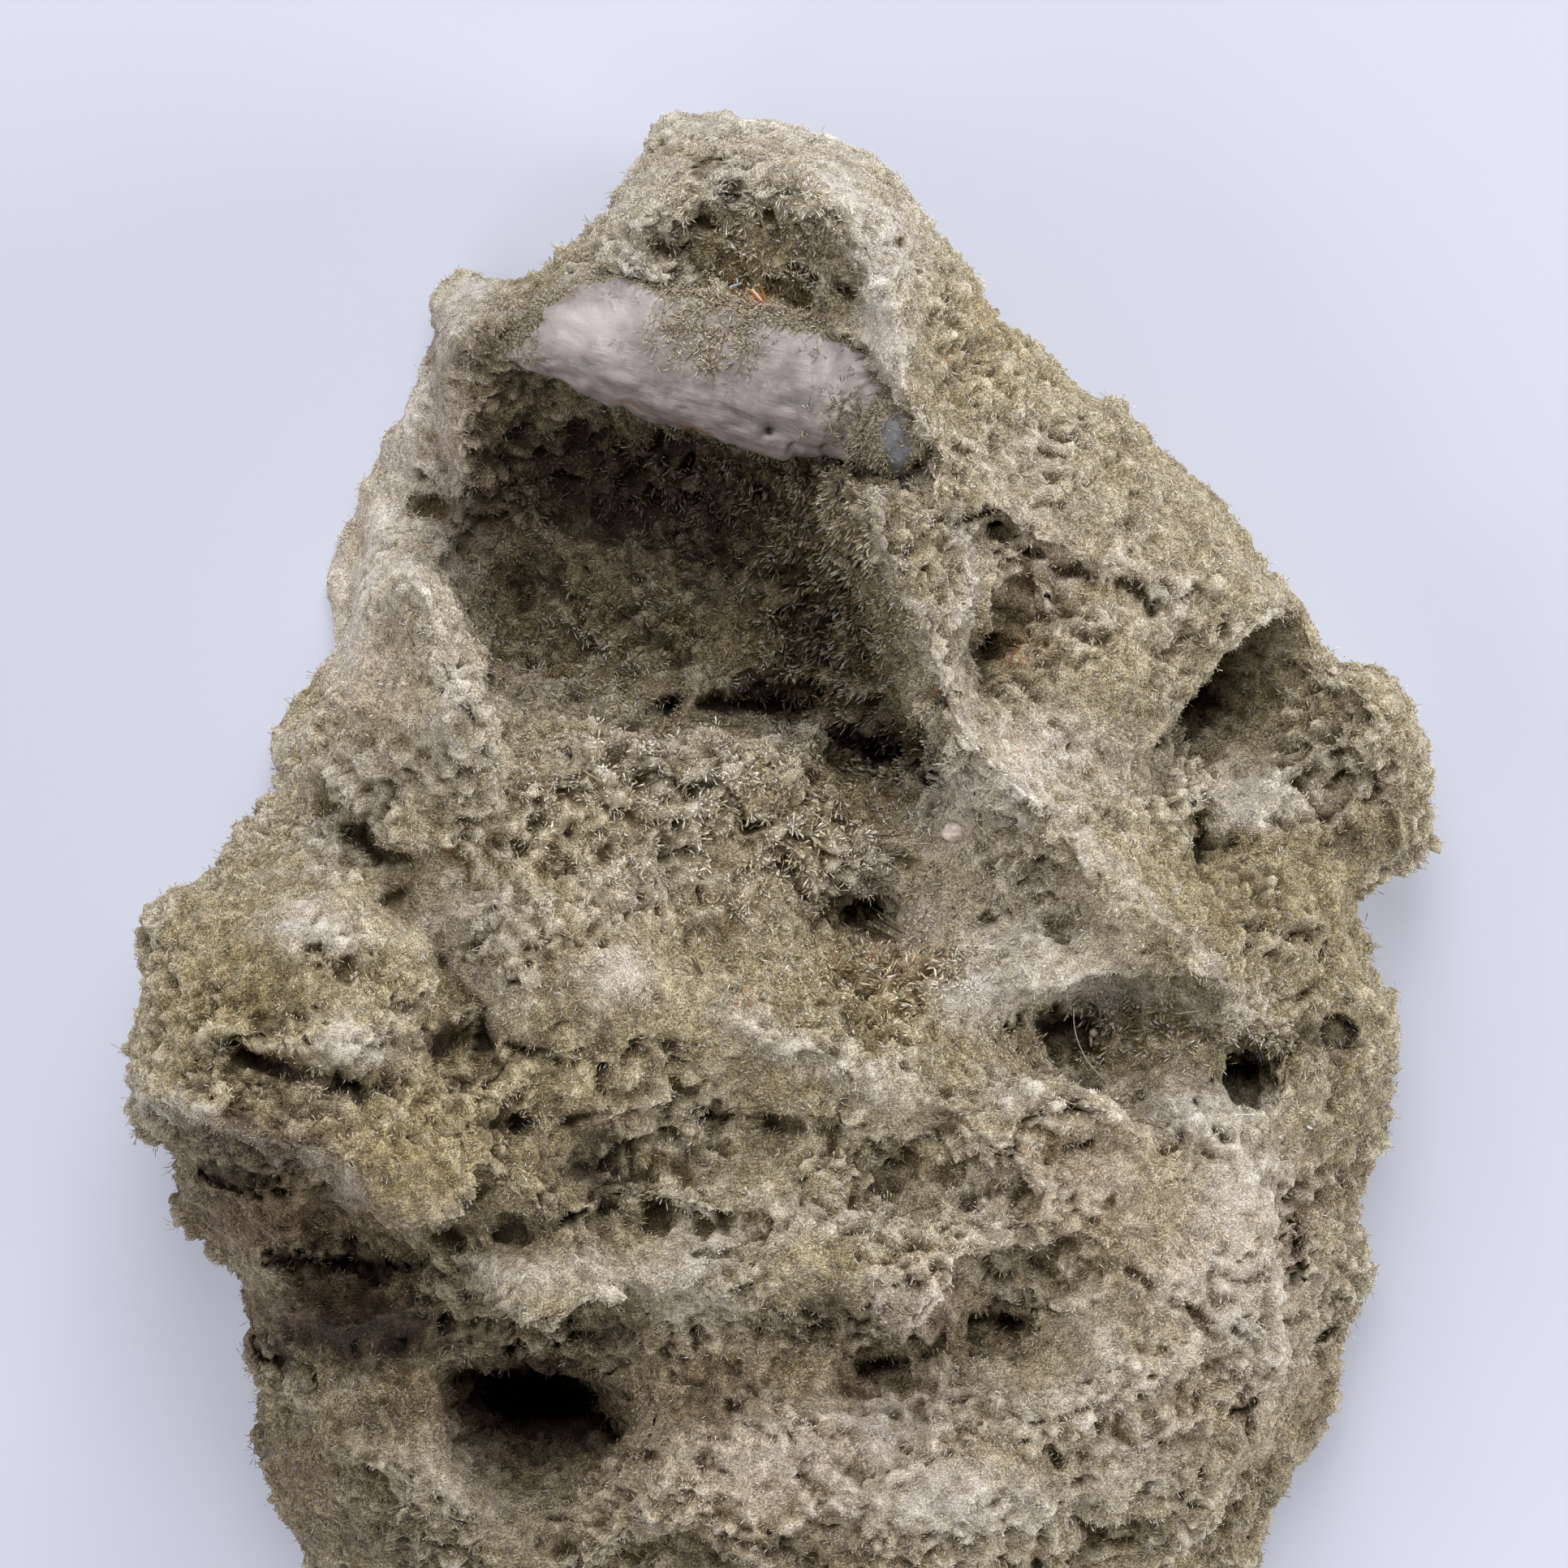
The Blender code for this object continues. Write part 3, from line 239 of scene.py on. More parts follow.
# Pinkish and brown stains.
PINK_PATCHES = [
    ((980, 1790), (230, 110), 0.8), ((1330, 1450), (110, 70), 0.7), ((1460, 1560), (120, 80), 0.6),
    ((1150, 1610), (80, 60), 0.9), ((1480, 1720), (120, 90), 0.4), ((560, 540), (50, 130), 0.9),
    ((450, 800), (50, 110), 0.6), ((640, 830), (60, 40), 0.4), ((430, 700), (60, 120), 0.6),
    ((1590, 1520), (50, 90), 0.5), ((330, 1400), (110, 24), 0.6), ((1300, 720), (90, 60), 0.3),
]
# Brown stains below the left lobe and in the cave. Their strong darkening partly stands as painted shade
# under the lobe and in the cave.
BROWN_STAIN_AND_SHADE_PATCHES = [
    ((330, 1500), (150, 60), 0.85), ((430, 1625), (140, 60), 0.95), ((300, 1640), (60, 90), 0.5),
    ((640, 1740), (110, 60), 1.0), ((360, 1830), (60, 60), 0.5), ((1640, 1750), (40, 90), 0.4),
]

# Warmer olive felt.
OLIVE_PATCHES = [
    ((320, 1230), (130, 120), 0.7), ((520, 1420), (120, 90), 0.8), ((1110, 1215), (80, 70), 0.8),
    ((730, 1180), (120, 90), 0.5), ((800, 1080), (200, 90), 0.4), ((1350, 1420), (110, 70), 0.4),
    ((1560, 1100), (110, 70), 0.5), ((650, 1330), (160, 60), 0.5), ((1000, 1040), (80, 80), 0.5),
    ((1230, 420), (70, 90), 0.3), ((690, 340), (60, 30), 0.5), ((890, 400), (60, 50), 0.6),
]
# Painted shade: patches that darken the felt where the hollows, the gaps under the ledges and the undercuts
# lie in shadow.
SHADE_PATCHES = [
    ((735, 600), (150, 90), 1.0), ((880, 630), (150, 110), 0.9), ((1000, 700), (110, 140), 0.65),
    ((650, 430), (56, 60), 0.85), ((1010, 575), (80, 40), 0.9), ((650, 700), (50, 90), 0.5),
    ((540, 440), (30, 60), 0.45), ((900, 565), (130, 28), 0.9), ((860, 1745), (60, 30), 0.5),
    ((1205, 640), (40, 30), 0.4), ((1210, 815), (30, 60), 0.45), ((1400, 885), (40, 46), 0.4),
    ((1650, 1042), (60, 28), 0.5), ((1640, 1286), (44, 32), 0.8), ((300, 1405), (100, 40), 0.65),
    ((440, 1335), (60, 24), 0.35), ((725, 1435), (60, 60), 0.55), ((650, 1520), (70, 34), 0.4),
    ((1020, 1630), (80, 36), 0.65), ((855, 1718), (70, 34), 0.5), ((760, 1648), (60, 30), 0.6),
    ((1250, 1655), (50, 34), 0.35), ((1430, 1512), (50, 32), 0.3), ((320, 1770), (60, 50), 0.35),
    ((850, 1150), (80, 24), 0.2), ((1130, 450), (30, 50), 0.2), ((700, 1810), (70, 30), 0.35),
    ((880, 450), (50, 30), 0.3), ((1480, 1790), (60, 30), 0.25), ((490, 1905), (140, 36), 0.5),
    ((735, 1510), (50, 34), 0.4), ((460, 1765), (60, 40), 0.4), ((360, 1665), (60, 60), 0.4),
    ((1228, 830), (36, 50), 0.3), ((750, 1264), (70, 26), 0.3), ((660, 1302), (70, 26), 0.3),
    ((885, 1350), (50, 26), 0.35), ((955, 1915), (160, 30), 0.5), ((1590, 1880), (60, 50), 0.4),
    ((1340, 645), (40, 24), 0.25), ((1310, 1420), (40, 30), 0.25), ((1605, 1525), (36, 40), 0.25),
    ((1078, 915), (56, 34), 0.7), ((700, 760), (130, 70), 0.3), ((920, 868), (110, 20), 0.8),
    ((450, 1645), (140, 50), 0.9), ((1110, 1680), (80, 30), 0.4), ((660, 1730), (100, 50), 0.9),
    ((500, 1430), (110, 90), 0.27), ((320, 1210), (110, 90), 0.12), ((1560, 1110), (100, 80), 0.28),
    ((1660, 1400), (70, 150), 0.2), ((365, 1310), (110, 26), 0.4), ((280, 1450), (90, 26), 0.3),
    ((540, 1290), (70, 40), 0.3), ((1280, 1268), (50, 20), 0.1), ((600, 480), (44, 60), 0.25),
    ((1535, 1312), (50, 30), 0.6), ((1480, 860), (50, 40), 0.3), ((655, 600), (50, 60), 0.5),
]

# Clumps of thicker crystals: centre, radii and share.
COARSE = [
    ((1000, 720), (90, 180), 1.0), ((900, 590), (170, 60), 0.9), ((1080, 940), (90, 50), 0.8),
    ((950, 1030), (190, 130), 0.7), ((1110, 1200), (90, 80), 0.75), ((820, 950), (150, 60), 0.6),
    ((930, 300), (110, 80), 0.7), ((870, 430), (60, 40), 0.5), ((1380, 1270), (130, 40), 0.8),
    ((730, 790), (150, 80), 0.45),
]

# Places with fewer and lower clumps: centre, radii and share.
CALM_PATCHES = [
    ((1440, 620), (170, 130), 0.6), ((1300, 560), (120, 90), 0.35), ((1062, 650), (44, 90), 0.6),
    ((1600, 780), (60, 60), 0.5), ((1330, 880), (100, 100), 0.35), ((540, 330), (50, 40), 0.6),
    ((1330, 1190), (110, 50), 0.4),
]

# Where the needles are combed: centre, radii, the way they point in the plan, how strongly, and by what
# factor they are longer.
COMBED = [
    ((1050, 740), (100, 190), (-0.75, -0.65), 1.0, 1.15), ((900, 600), (160, 70), (-0.2, -1.0), 0.8, 1.1),
    ((1080, 930), (90, 60), (-0.9, -0.3), 0.9, 1.2), ((760, 760), (160, 80), (-0.3, -0.6), 0.4, 1.1),
    ((940, 300), (120, 80), (0.3, -0.9), 0.4, 1.1), ((1300, 1110), (110, 90), (-0.8, -0.5), 0.7, 0.9),
    ((1380, 1270), (150, 50), (-0.3, -0.9), 0.6, 1.2), ((1060, 1190), (80, 60), (-0.4, 0.7), 0.4, 1.2),
    ((1450, 1780), (160, 120), (0.7, -0.6), 0.5, 0.9),
]

ZONE_NAMES = ("dust", "pink", "brown", "rust", "olive", "deep")

# The quartz: how finely it is made, how far it swells into its place, and where it is bare of needles.
QUARTZ_VOXEL = 0.09
QUARTZ_SWELL = 0.5
QUARTZ_TURN = -13.0
QUARTZ_TUFTS = 1000
QUARTZ_HOLE = (948, 530)
HOLE_RADIUS = 0.13
HOLE_DEPTH = 0.4
KNOB_SINK = 0.22
# Notches in the lower lip: plan place, radius in plan columns and depth in millimetres.
QUARTZ_NOTCHES = [
    ((685, 500), 48, 0.45), ((978, 556), 7, 0.34), ((1017, 556), 6, 0.26), ((1048, 545), 8, 0.2),
    ((905, 552), 8, 0.1), ((853, 532), 9, 0.1), ((770, 502), 11, 0.1), ((728, 486), 8, 0.07),
    ((690, 474), 8, 0.07),
]
QUARTZ_LIP = [
    (627, 452), (663, 462), (710, 474), (750, 490), (790, 500), (830, 518), (879, 534), (915, 545),
    (940, 558), (956, 560), (966, 550), (980, 546), (995, 551), (1013, 546), (1036, 543),
]
QUARTZ_BARE = [
    (618, 440), (627, 475), (663, 500), (750, 520), (830, 545), (915, 575), (960, 590), (1040, 570),
    (1056, 530), (1072, 500), (1080, 465), (1070, 440), (1040, 425), (1000, 405), (964, 402), (935, 395),
    (900, 385), (850, 376), (820, 362), (780, 342), (740, 345), (700, 352), (672, 378), (655, 415),
]
QUARTZ_OVERGROWN = [
    ((850, 395), (40, 28), 1.0), ((870, 435), (36, 30), 0.9), ((915, 410), (30, 24), 0.8),
    ((810, 425), (16, 20), 0.5), ((1040, 510), (30, 24), 0.9), ((690, 352), (30, 14), 0.9),
    ((655, 430), (10, 16), 0.8), ((745, 375), (14, 8), 0.5), ((1000, 440), (10, 8), 0.4),
    ((960, 470), (8, 8), 0.3), ((930, 440), (14, 12), 0.6),
]
KNOB_BARE = [
    (1096, 500), (1112, 508), (1124, 535), (1128, 570), (1118, 592), (1104, 585), (1094, 560), (1088, 525),
]
QUARTZ_WHITE = [
    ((735, 395), (60, 30), 1.0), ((800, 362), (30, 14), 0.7), ((1040, 446), (40, 26), 0.9),
    ((985, 425), (40, 18), 0.4),
]

# Single crystals: the plan places of both ends, how far each is over the ground, the half width and the kind.
# Tan is the plain tone, and has no number of its own.
# The clear ones are pale grey-white as a painted highlight, where single clear crystals glint.
STRAW_KINDS = ("dark", "clear", "rusty")
STRAWS = [
    ((1062, 1122), (1112, 1150), (0.05, 0.0), 0.05, "dark"),
    ((1056, 1130), (1106, 1156), (0.0, 0.05), 0.05, "tan"),
    ((1070, 1116), (1108, 1140), (0.1, 0.1), 0.04, "tan"),
    ((1060, 1138), (1094, 1154), (0.1, 0.1), 0.045, "dark"),
    ((1078, 1122), (1120, 1142), (0.12, 0.0), 0.035, "tan"),
    ((1066, 1146), (1104, 1162), (0.0, 0.0), 0.04, "dark"),
    ((900, 352), (914, 347), (0.12, 0.15), 0.05, "clear"),
    ((926, 356), (938, 370), (0.1, 0.1), 0.08, "rusty"),
    ((938, 352), (943, 370), (0.15, 0.1), 0.04, "rusty"),
    ((942, 430), (956, 462), (0.1, 0.05), 0.05, "dark"),
    ((974, 1014), (984, 1034), (0.15, 0.2), 0.022, "clear"),
    ((978, 1010), (976, 1030), (0.1, 0.2), 0.015, "clear"),
    ((858, 1176), (866, 1196), (0.1, 0.1), 0.05, "tan"),
    ((852, 1180), (864, 1200), (0.05, 0.1), 0.04, "dark"),
    ((866, 1000), (892, 996), (0.15, 0.15), 0.03, "tan"),
    ((890, 990), (912, 1004), (0.2, 0.15), 0.025, "tan"),
    ((1450, 1250), (1478, 1246), (0.3, 0.3), 0.015, "clear"),
    ((1522, 1374), (1548, 1374), (0.1, 0.1), 0.018, "clear"),
    ((1040, 996), (1066, 990), (0.2, 0.2), 0.025, "tan"),
    ((1000, 1000), (1022, 1016), (0.2, 0.1), 0.025, "tan"),
    ((1614, 1390), (1620, 1393), (0.1, 0.1), 0.04, "clear"),
    ((720, 950), (740, 962), (0.15, 0.2), 0.03, "tan"),
    ((800, 1010), (826, 1000), (0.2, 0.2), 0.028, "tan"),
    ((930, 930), (952, 918), (0.2, 0.2), 0.028, "tan"), ((960, 960), (990, 950), (0.2, 0.2), 0.028, "tan"),
]
# Pale grains: plan place, sizes each way, how far the middle is over the ground, and how lumpy it is.
PEBBLES = [
    ((1175, 1025), (0.36, 0.27, 0.22), 0.05, 0.35), ((1349, 1274), (0.13, 0.13, 0.13), 0.35, 0.15),
    ((1346, 1284), (0.05, 0.2, 0.06), 0.25, 0.1),
]
# The lint: plan places, each with its height over the ground at the first.
LINT = [
    ((1324, 1243), 0.5), ((1323, 1264), 0.6), ((1330, 1292), 0.6), ((1344, 1314), 0.55), ((1360, 1330), 0.5),
]
LINT_HALF_WIDTH = 0.014


def plan(points):
    """Plan places as millimetres east and north, one row for each point."""
    places = np.asarray(points, float).reshape(-1, 2)
    east = (places[:, 0] - PLAN_MIDDLE[0]) * PLAN_STEP
    north = (PLAN_MIDDLE[1] - places[:, 1]) * PLAN_STEP
    return np.stack([east, north], axis=1)


def columns_rows(points):
    """The plan columns and rows of points in millimetres."""
    columns = points[:, 0] / PLAN_STEP + PLAN_MIDDLE[0]
    rows = PLAN_MIDDLE[1] - points[:, 1] / PLAN_STEP
    return np.stack([columns, rows], axis=1)


def smooth_step(low, high, value):
    share = np.clip((value - low) / (high - low), 0.0, 1.0)
    return share * share * (3 - 2 * share)


def noise_at(points, size, offset=0.0):
    """Smooth noise of about -1 to 1 at points in millimetres, with lumps of the given size."""
    return np.array([noise.noise((x / size + offset, y / size, z / size - offset)) for x, y, z in points])


def clumps_at(points):
    """1 in the middle of each clump of the felt and 0 in the gaps between clumps."""
    bend = np.stack([noise_at(points, CLUMP_SIZE[1], shift) for shift in (1.0, 5.0, 9.0)], axis=1)
    bent = (points + CLUMP_BEND * bend) / CLUMP_SIZE
    nearest = np.array([noise.voronoi(Vector(place))[0][0] for place in bent])
    return 1 - np.clip(nearest / 0.75, 0, 1)


def inside(places, outline):
    """Whether plan places are inside a closed outline."""
    outline = np.asarray(outline, float)
    found = np.zeros(len(places), bool)
    for start, end in zip(outline, np.roll(outline, -1, axis=0)):
        crosses = (start[1] > places[:, 1]) != (end[1] > places[:, 1])
        if start[1] != end[1]:
            at = start[0] + (places[:, 1] - start[1]) * (end[0] - start[0]) / (end[1] - start[1])
            found ^= crosses & (places[:, 0] < at)
    return found


def line_distance(places, line):
    """Distance from plan places to a line, in plan columns."""
    line = np.asarray(line, float)
    best = np.full(len(places), np.inf)
    for start, end in zip(line[:-1], line[1:]):
        step = end - start
        share = np.clip((places - start) @ step / (step @ step), 0, 1)
        best = np.minimum(best, np.linalg.norm(places - start - share[:, None] * step, axis=1))
    return best


def patch_strength(places, patches):
    """How strongly soft patches cover plan places."""
    strength = np.zeros(len(places))
    for centre, radii, most in patches:
        away = np.hypot(*((places - centre) / radii).T)
        strength = np.maximum(strength, most * np.exp(-(away**2) * 0.9))
    return strength


def turned_offsets(points, centre, radii, turn):
    """How far points lie from a plan place along two turned axes, in radii."""
    offset = points[:, :2] - plan(centre)[0]
    angle = math.radians(turn)
    across = offset @ np.array([math.cos(angle), math.sin(angle)]) / radii[0]
    along = offset @ np.array([-math.sin(angle), math.cos(angle)]) / radii[1]
    return across, along


def dust_cover(places):
    """How strongly white dust lies at plan places."""
    dust = patch_strength(places, DUST_PATCHES)
    for line, width, most in DUST_LINES:
        dust = np.maximum(dust, most * np.exp(-((line_distance(places, line) / width) ** 2)))
    return dust


# Meshes


def new_object(name, mesh):
    obj = bpy.data.objects.new(name, mesh)
    bpy.context.scene.collection.objects.link(obj)
    return obj


def with_modifiers(obj):
    """Applies the object's modifiers to its mesh."""
    graph = bpy.context.evaluated_depsgraph_get()
    graph.update()
    made = bpy.data.meshes.new_from_object(obj.evaluated_get(graph))
    obj.modifiers.clear()
    obj.data = made
    return obj


def with_curve_mesh(obj, name):
    """A mesh piece in place of a curve."""
    graph = bpy.context.evaluated_depsgraph_get()
    graph.update()
    mesh = bpy.data.meshes.new_from_object(obj.evaluated_get(graph))
    mesh.name = name
    bpy.data.objects.remove(obj)
    return new_object(name, mesh)


def read_points(mesh):
    points = np.empty(len(mesh.vertices) * 3)
    mesh.vertices.foreach_get("co", points)
    return points.reshape(-1, 3)


def read_normals(mesh):
    normals = np.empty(len(mesh.vertices) * 3)
    mesh.vertex_normals.foreach_get("vector", normals)
    return normals.reshape(-1, 3)


def write_points(mesh, points):
    mesh.vertices.foreach_set("co", points.ravel())
    mesh.update()


def read_triangles(mesh):
    mesh.calc_loop_triangles()
    corners = np.empty(len(mesh.loop_triangles) * 3, np.int64)
    mesh.loop_triangles.foreach_get("vertices", corners)
    return corners.reshape(-1, 3)


def read_edges(mesh):
    ends = np.empty(len(mesh.edges) * 2, np.int64)
    mesh.edges.foreach_get("vertices", ends)
    return ends.reshape(-1, 2)


def merged_copy(node, name):
    """A copy of a solid in millimetres, with its loose triangles joined."""
    work = bmesh.new()
    work.from_mesh(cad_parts[node].data)
    bmesh.ops.remove_doubles(work, verts=work.verts, dist=1e-6)
    bmesh.ops.scale(work, vec=(1 / MM, 1 / MM, 1 / MM), verts=work.verts)
    mesh = bpy.data.meshes.new(name)
    work.to_mesh(mesh)
    work.free()
    return new_object(name, mesh)


def remeshed(obj, voxel):
    remesh = obj.modifiers.new("even", "REMESH")
    remesh.mode = "VOXEL"
    remesh.voxel_size = voxel
    return with_modifiers(obj)


def spread(values, ends, rounds):
    """Values at points averaged with their neighbours, several times over."""
    count = len(values)
    degree = np.bincount(ends.ravel(), minlength=count)
    for _ in range(rounds):
        total = np.stack(
            [
                np.bincount(ends[:, 0], weights=column[ends[:, 1]], minlength=count)
                + np.bincount(ends[:, 1], weights=column[ends[:, 0]], minlength=count)
                for column in values.T
            ],
            axis=1,
        )
        values = 0.5 * values + 0.5 * total / degree[:, None]
    return values


def keep_numbers(mesh, name, numbers):
    """Stores one number for each point of the mesh."""
    attribute = mesh.attributes.new(name, "FLOAT", "POINT")
    attribute.data.foreach_set("value", np.asarray(numbers, np.float32))


def finish_mesh(obj, smooth=True):
    obj.data.transform(Matrix.Scale(MM, 4))
    if smooth:
        obj.data.shade_smooth()
    return obj


# Materials


FELT_TONES = ((0.17, 0.112, 0.032), (0.545, 0.44, 0.235), (0.97, 0.90, 0.71))
SKIN_DIM = 0.76


class Paint:
    """Builds one material's nodes."""

    def __init__(self, name):
        self.material = bpy.data.materials.new(name)
        self.material.use_nodes = True
        self.tree = self.material.node_tree
        self.shader = self.tree.nodes["Principled BSDF"]
        self.place = self.tree.nodes.new("ShaderNodeTexCoord").outputs["Object"]

    def link(self, source, target):
        self.tree.links.new(source, target)

    def number(self, name):
        """The stored number of that name on the piece."""
        node = self.tree.nodes.new("ShaderNodeAttribute")
        node.attribute_name = name
        return node.outputs["Fac"]

    def grain(self, size, detail=3.0, roughness=0.6):
        """Noise of 0 to 1 with lumps of the given size in millimetres."""
        node = self.tree.nodes.new("ShaderNodeTexNoise")
        node.inputs["Scale"].default_value = 1 / (size * MM)
        node.inputs["Detail"].default_value = detail
        node.inputs["Roughness"].default_value = roughness
        self.link(self.place, node.inputs["Vector"])
        return node.outputs["Fac"]

    def sum(self, operation, first, second, clamp=True):
        node = self.tree.nodes.new("ShaderNodeMath")
        node.operation = operation
        node.use_clamp = clamp
        for socket, value in zip(node.inputs, (first, second)):
            if isinstance(value, (int, float)):
                socket.default_value = value
            else:
                self.link(value, socket)
        return node.outputs["Value"]

    def span(self, value, low, high, to_low=0.0, to_high=1.0):
        """A number moved from one range to another, and held inside it."""
        node = self.tree.nodes.new("ShaderNodeMapRange")
        self.link(value, node.inputs["Value"])
        for name, given in (("From Min", low), ("From Max", high), ("To Min", to_low), ("To Max", to_high)):
            node.inputs[name].default_value = given
        return node.outputs["Result"]

    def blend(self, share, first, second, kind="MIX"):
        """Two colours mixed by a share."""
        node = self.tree.nodes.new("ShaderNodeMix")
        node.data_type = "RGBA"
        node.blend_type = kind
        inputs = [socket for socket in node.inputs if socket.type == "RGBA"]
        if isinstance(share, (int, float)):
            node.inputs["Factor"].default_value = share
        else:
            self.link(share, node.inputs["Factor"])
        for socket, value in zip(inputs, (first, second)):
            if isinstance(value, tuple):
                socket.default_value = (*value, 1.0)
            else:
                self.link(value, socket)
        return [socket for socket in node.outputs if socket.type == "RGBA"][0]

    def fibres(self, patch, length, width):
        """Noise of 0 to 1 in matted fibres, which point another way in each patch. Sizes are millimetres."""
        cells = self.tree.nodes.new("ShaderNodeTexVoronoi")
        cells.inputs["Scale"].default_value = 1 / (patch * MM)
        self.link(self.place, cells.inputs["Vector"])
        angles = self.tree.nodes.new("ShaderNodeVectorMath")
        angles.operation = "SCALE"
        angles.inputs["Scale"].default_value = 2 * math.pi
        self.link(cells.outputs["Color"], angles.inputs[0])
        turn = self.tree.nodes.new("ShaderNodeVectorRotate")
        turn.rotation_type = "EULER_XYZ"
        self.link(self.place, turn.inputs["Vector"])
        self.link(angles.outputs["Vector"], turn.inputs["Rotation"])
        narrow = self.tree.nodes.new("ShaderNodeVectorMath")
        narrow.operation = "MULTIPLY"
        narrow.inputs[1].default_value = (1 / (width * MM), 1 / (width * MM), 1 / (length * MM))
        self.link(turn.outputs["Vector"], narrow.inputs[0])
        node = self.tree.nodes.new("ShaderNodeTexNoise")
        node.inputs["Scale"].default_value = 1.0
        node.inputs["Detail"].default_value = 1.0
        self.link(narrow.outputs["Vector"], node.inputs["Vector"])
        return node.outputs["Fac"]

    def streaks(self, turn, length, width):
        """Noise of 0 to 1 in long streaks, which lie at an angle in degrees across the piece."""
        turned = self.tree.nodes.new("ShaderNodeVectorRotate")
        turned.rotation_type = "Z_AXIS"
        turned.inputs["Angle"].default_value = -math.radians(turn)
        self.link(self.place, turned.inputs["Vector"])
        narrow = self.tree.nodes.new("ShaderNodeVectorMath")
        narrow.operation = "MULTIPLY"
        narrow.inputs[1].default_value = (1 / (length * MM), 1 / (width * MM), 1 / (width * MM))
        self.link(turned.outputs["Vector"], narrow.inputs[0])
        node = self.tree.nodes.new("ShaderNodeTexNoise")
        node.inputs["Scale"].default_value = 1.0
        node.inputs["Detail"].default_value = 3.0
        self.link(narrow.outputs["Vector"], node.inputs["Vector"])
        return node.outputs["Fac"]

    def bump(self, height, depth, strength=1.0):
        """Relief of a depth in millimetres from a number of 0 to 1."""
        node = self.tree.nodes.new("ShaderNodeBump")
        node.inputs["Strength"].default_value = strength
        node.inputs["Distance"].default_value = depth * MM
        self.link(height, node.inputs["Height"])
        self.link(node.outputs["Normal"], self.shader.inputs["Normal"])

    def set(self, name, value):
        if isinstance(value, (int, float, tuple)):
            self.shader.inputs[name].default_value = value
        else:
            self.link(value, self.shader.inputs[name])


def felt_tone(paint, share, dim=1.0):
    """Olive brown, tan or cream for a share of 0 to 1."""
    tones = [tuple(part * dim for part in tone) for tone in FELT_TONES]
    first = paint.blend(paint.span(share, 0.0, 0.5), tones[0], tones[1])
    return paint.blend(paint.span(share, 0.5, 1.0), first, tones[2])


def zone_colour(paint, green, pale):
    """The mineral's colour from its zones: olive, white dust, pink stains, brown stains that partly stand as
    painted shade, rust, and painted shade in the gaps, hollows and shade patches.
    """
    olive = paint.blend(1.0, green, (1.0, 0.93, 0.72), "MULTIPLY")
    colour = paint.blend(paint.number("olive"), green, olive)
    rosy = paint.blend(1.0, colour, (1.12, 0.96, 0.98), "MULTIPLY")
    colour = paint.blend(paint.number("pink"), colour, rosy)
    colour = paint.blend(paint.number("dust"), colour, pale)
    # Brown stain, dark enough that it partly stands as painted shade.
    earthy = paint.blend(1.0, colour, (0.36, 0.25, 0.19), "MULTIPLY")
    colour = paint.blend(paint.number("brown"), colour, earthy)
    # Painted shade: the colour is darkened where the shade zone is high.
    dim = paint.blend(1.0, colour, (0.155, 0.125, 0.105), "MULTIPLY")
    colour = paint.blend(paint.number("deep"), colour, dim)
    return paint.blend(paint.number("rust"), colour, (0.42, 0.13, 0.03))


def felt_finish():
    """Slender olive needles, each of its own tone, dusted white on the crests and darker at their roots as
    painted shade.
    """
    paint = Paint("johannsenite needles")
    own = paint.number("own")
    green = paint.blend(paint.number("white"), felt_tone(paint, own), (0.84, 0.84, 0.86))
    pale = paint.blend(own, (0.72, 0.64, 0.56), (0.98, 0.94, 0.90))
    colour = zone_colour(paint, green, pale)
    # Painted shade: each needle darkens towards its root, down among the others.
    root = paint.blend(0.6, colour, (0.12, 0.085, 0.04))
    paint.set("Base Color", paint.blend(paint.number("tip"), root, colour))
    paint.set("Roughness", paint.span(own, 0.0, 1.0, 0.5, 0.22))
    paint.set("IOR", 1.66)
    return paint.material


def skin_finish():
    """The crumbly matted ground under the needles."""
    paint = Paint("johannsenite skin")
    matted = paint.fibres(0.34, 0.22, 0.032)
    fine = paint.grain(0.07, 2.0, 0.6)
    height = paint.sum("MULTIPLY", paint.sum("ADD", matted, fine, clamp=False), 0.5)
    share = paint.sum("ADD", paint.span(height, 0.38, 0.62), paint.number("tone"))
    green = felt_tone(paint, share, SKIN_DIM)
    pale = paint.blend(share, (0.44, 0.37, 0.29), (0.92, 0.87, 0.81))
    paint.set("Base Color", zone_colour(paint, green, pale))
    paint.set("Roughness", 0.75)
    paint.bump(height, 0.14)
    return paint.material


# The lump's skin and its needles


def zones(points, hollow, crest, gaps):
    """The colour zones at points, each of 0 to 1."""
    places = columns_rows(points)
    drift = np.stack([noise_at(points, 1.1, 4.0), noise_at(points, 1.1, 9.0)], axis=1)
    places = places + 22 * drift
    top = np.maximum(smooth_step(1.0, 3.0, points[:, 2]), patch_strength(places, LOW_DUST))
    cloud = noise_at(points, 3.0, 2.0)
    speckle = noise_at(points, 0.45, 6.0)
    dust = dust_cover(places) * top * (0.85 + 0.5 * speckle)
    dust += 0.18 * crest + 0.12 * smooth_step(0.0, 0.8, cloud) + 0.03
    # Painted shade: the shade patches and the hollows lose their white dust, so that they stay dark.
    dark = patch_strength(places, SHADE_PATCHES)
    dust -= 0.5 * hollow + 0.6 * dark
    pink = patch_strength(places, PINK_PATCHES) * (0.8 + 0.4 * cloud)
    brown = patch_strength(places, BROWN_STAIN_AND_SHADE_PATCHES)
    rust = patch_strength(places, RUST_PATCHES) * smooth_step(0.0, 0.35, noise_at(points, 0.22, 8.0))
    olive = patch_strength(places, OLIVE_PATCHES) * (1 + 0.5 * speckle)
    # Painted shade, strongest in the shade patches, then in the gaps between clumps and in the hollows.
    deep = 0.95 * dark + 0.55 * gaps + 0.2 * hollow
    values = (dust, pink, brown, rust, olive, deep)
    return {name: np.clip(value, 0, 1) for name, value in zip(ZONE_NAMES, values)}


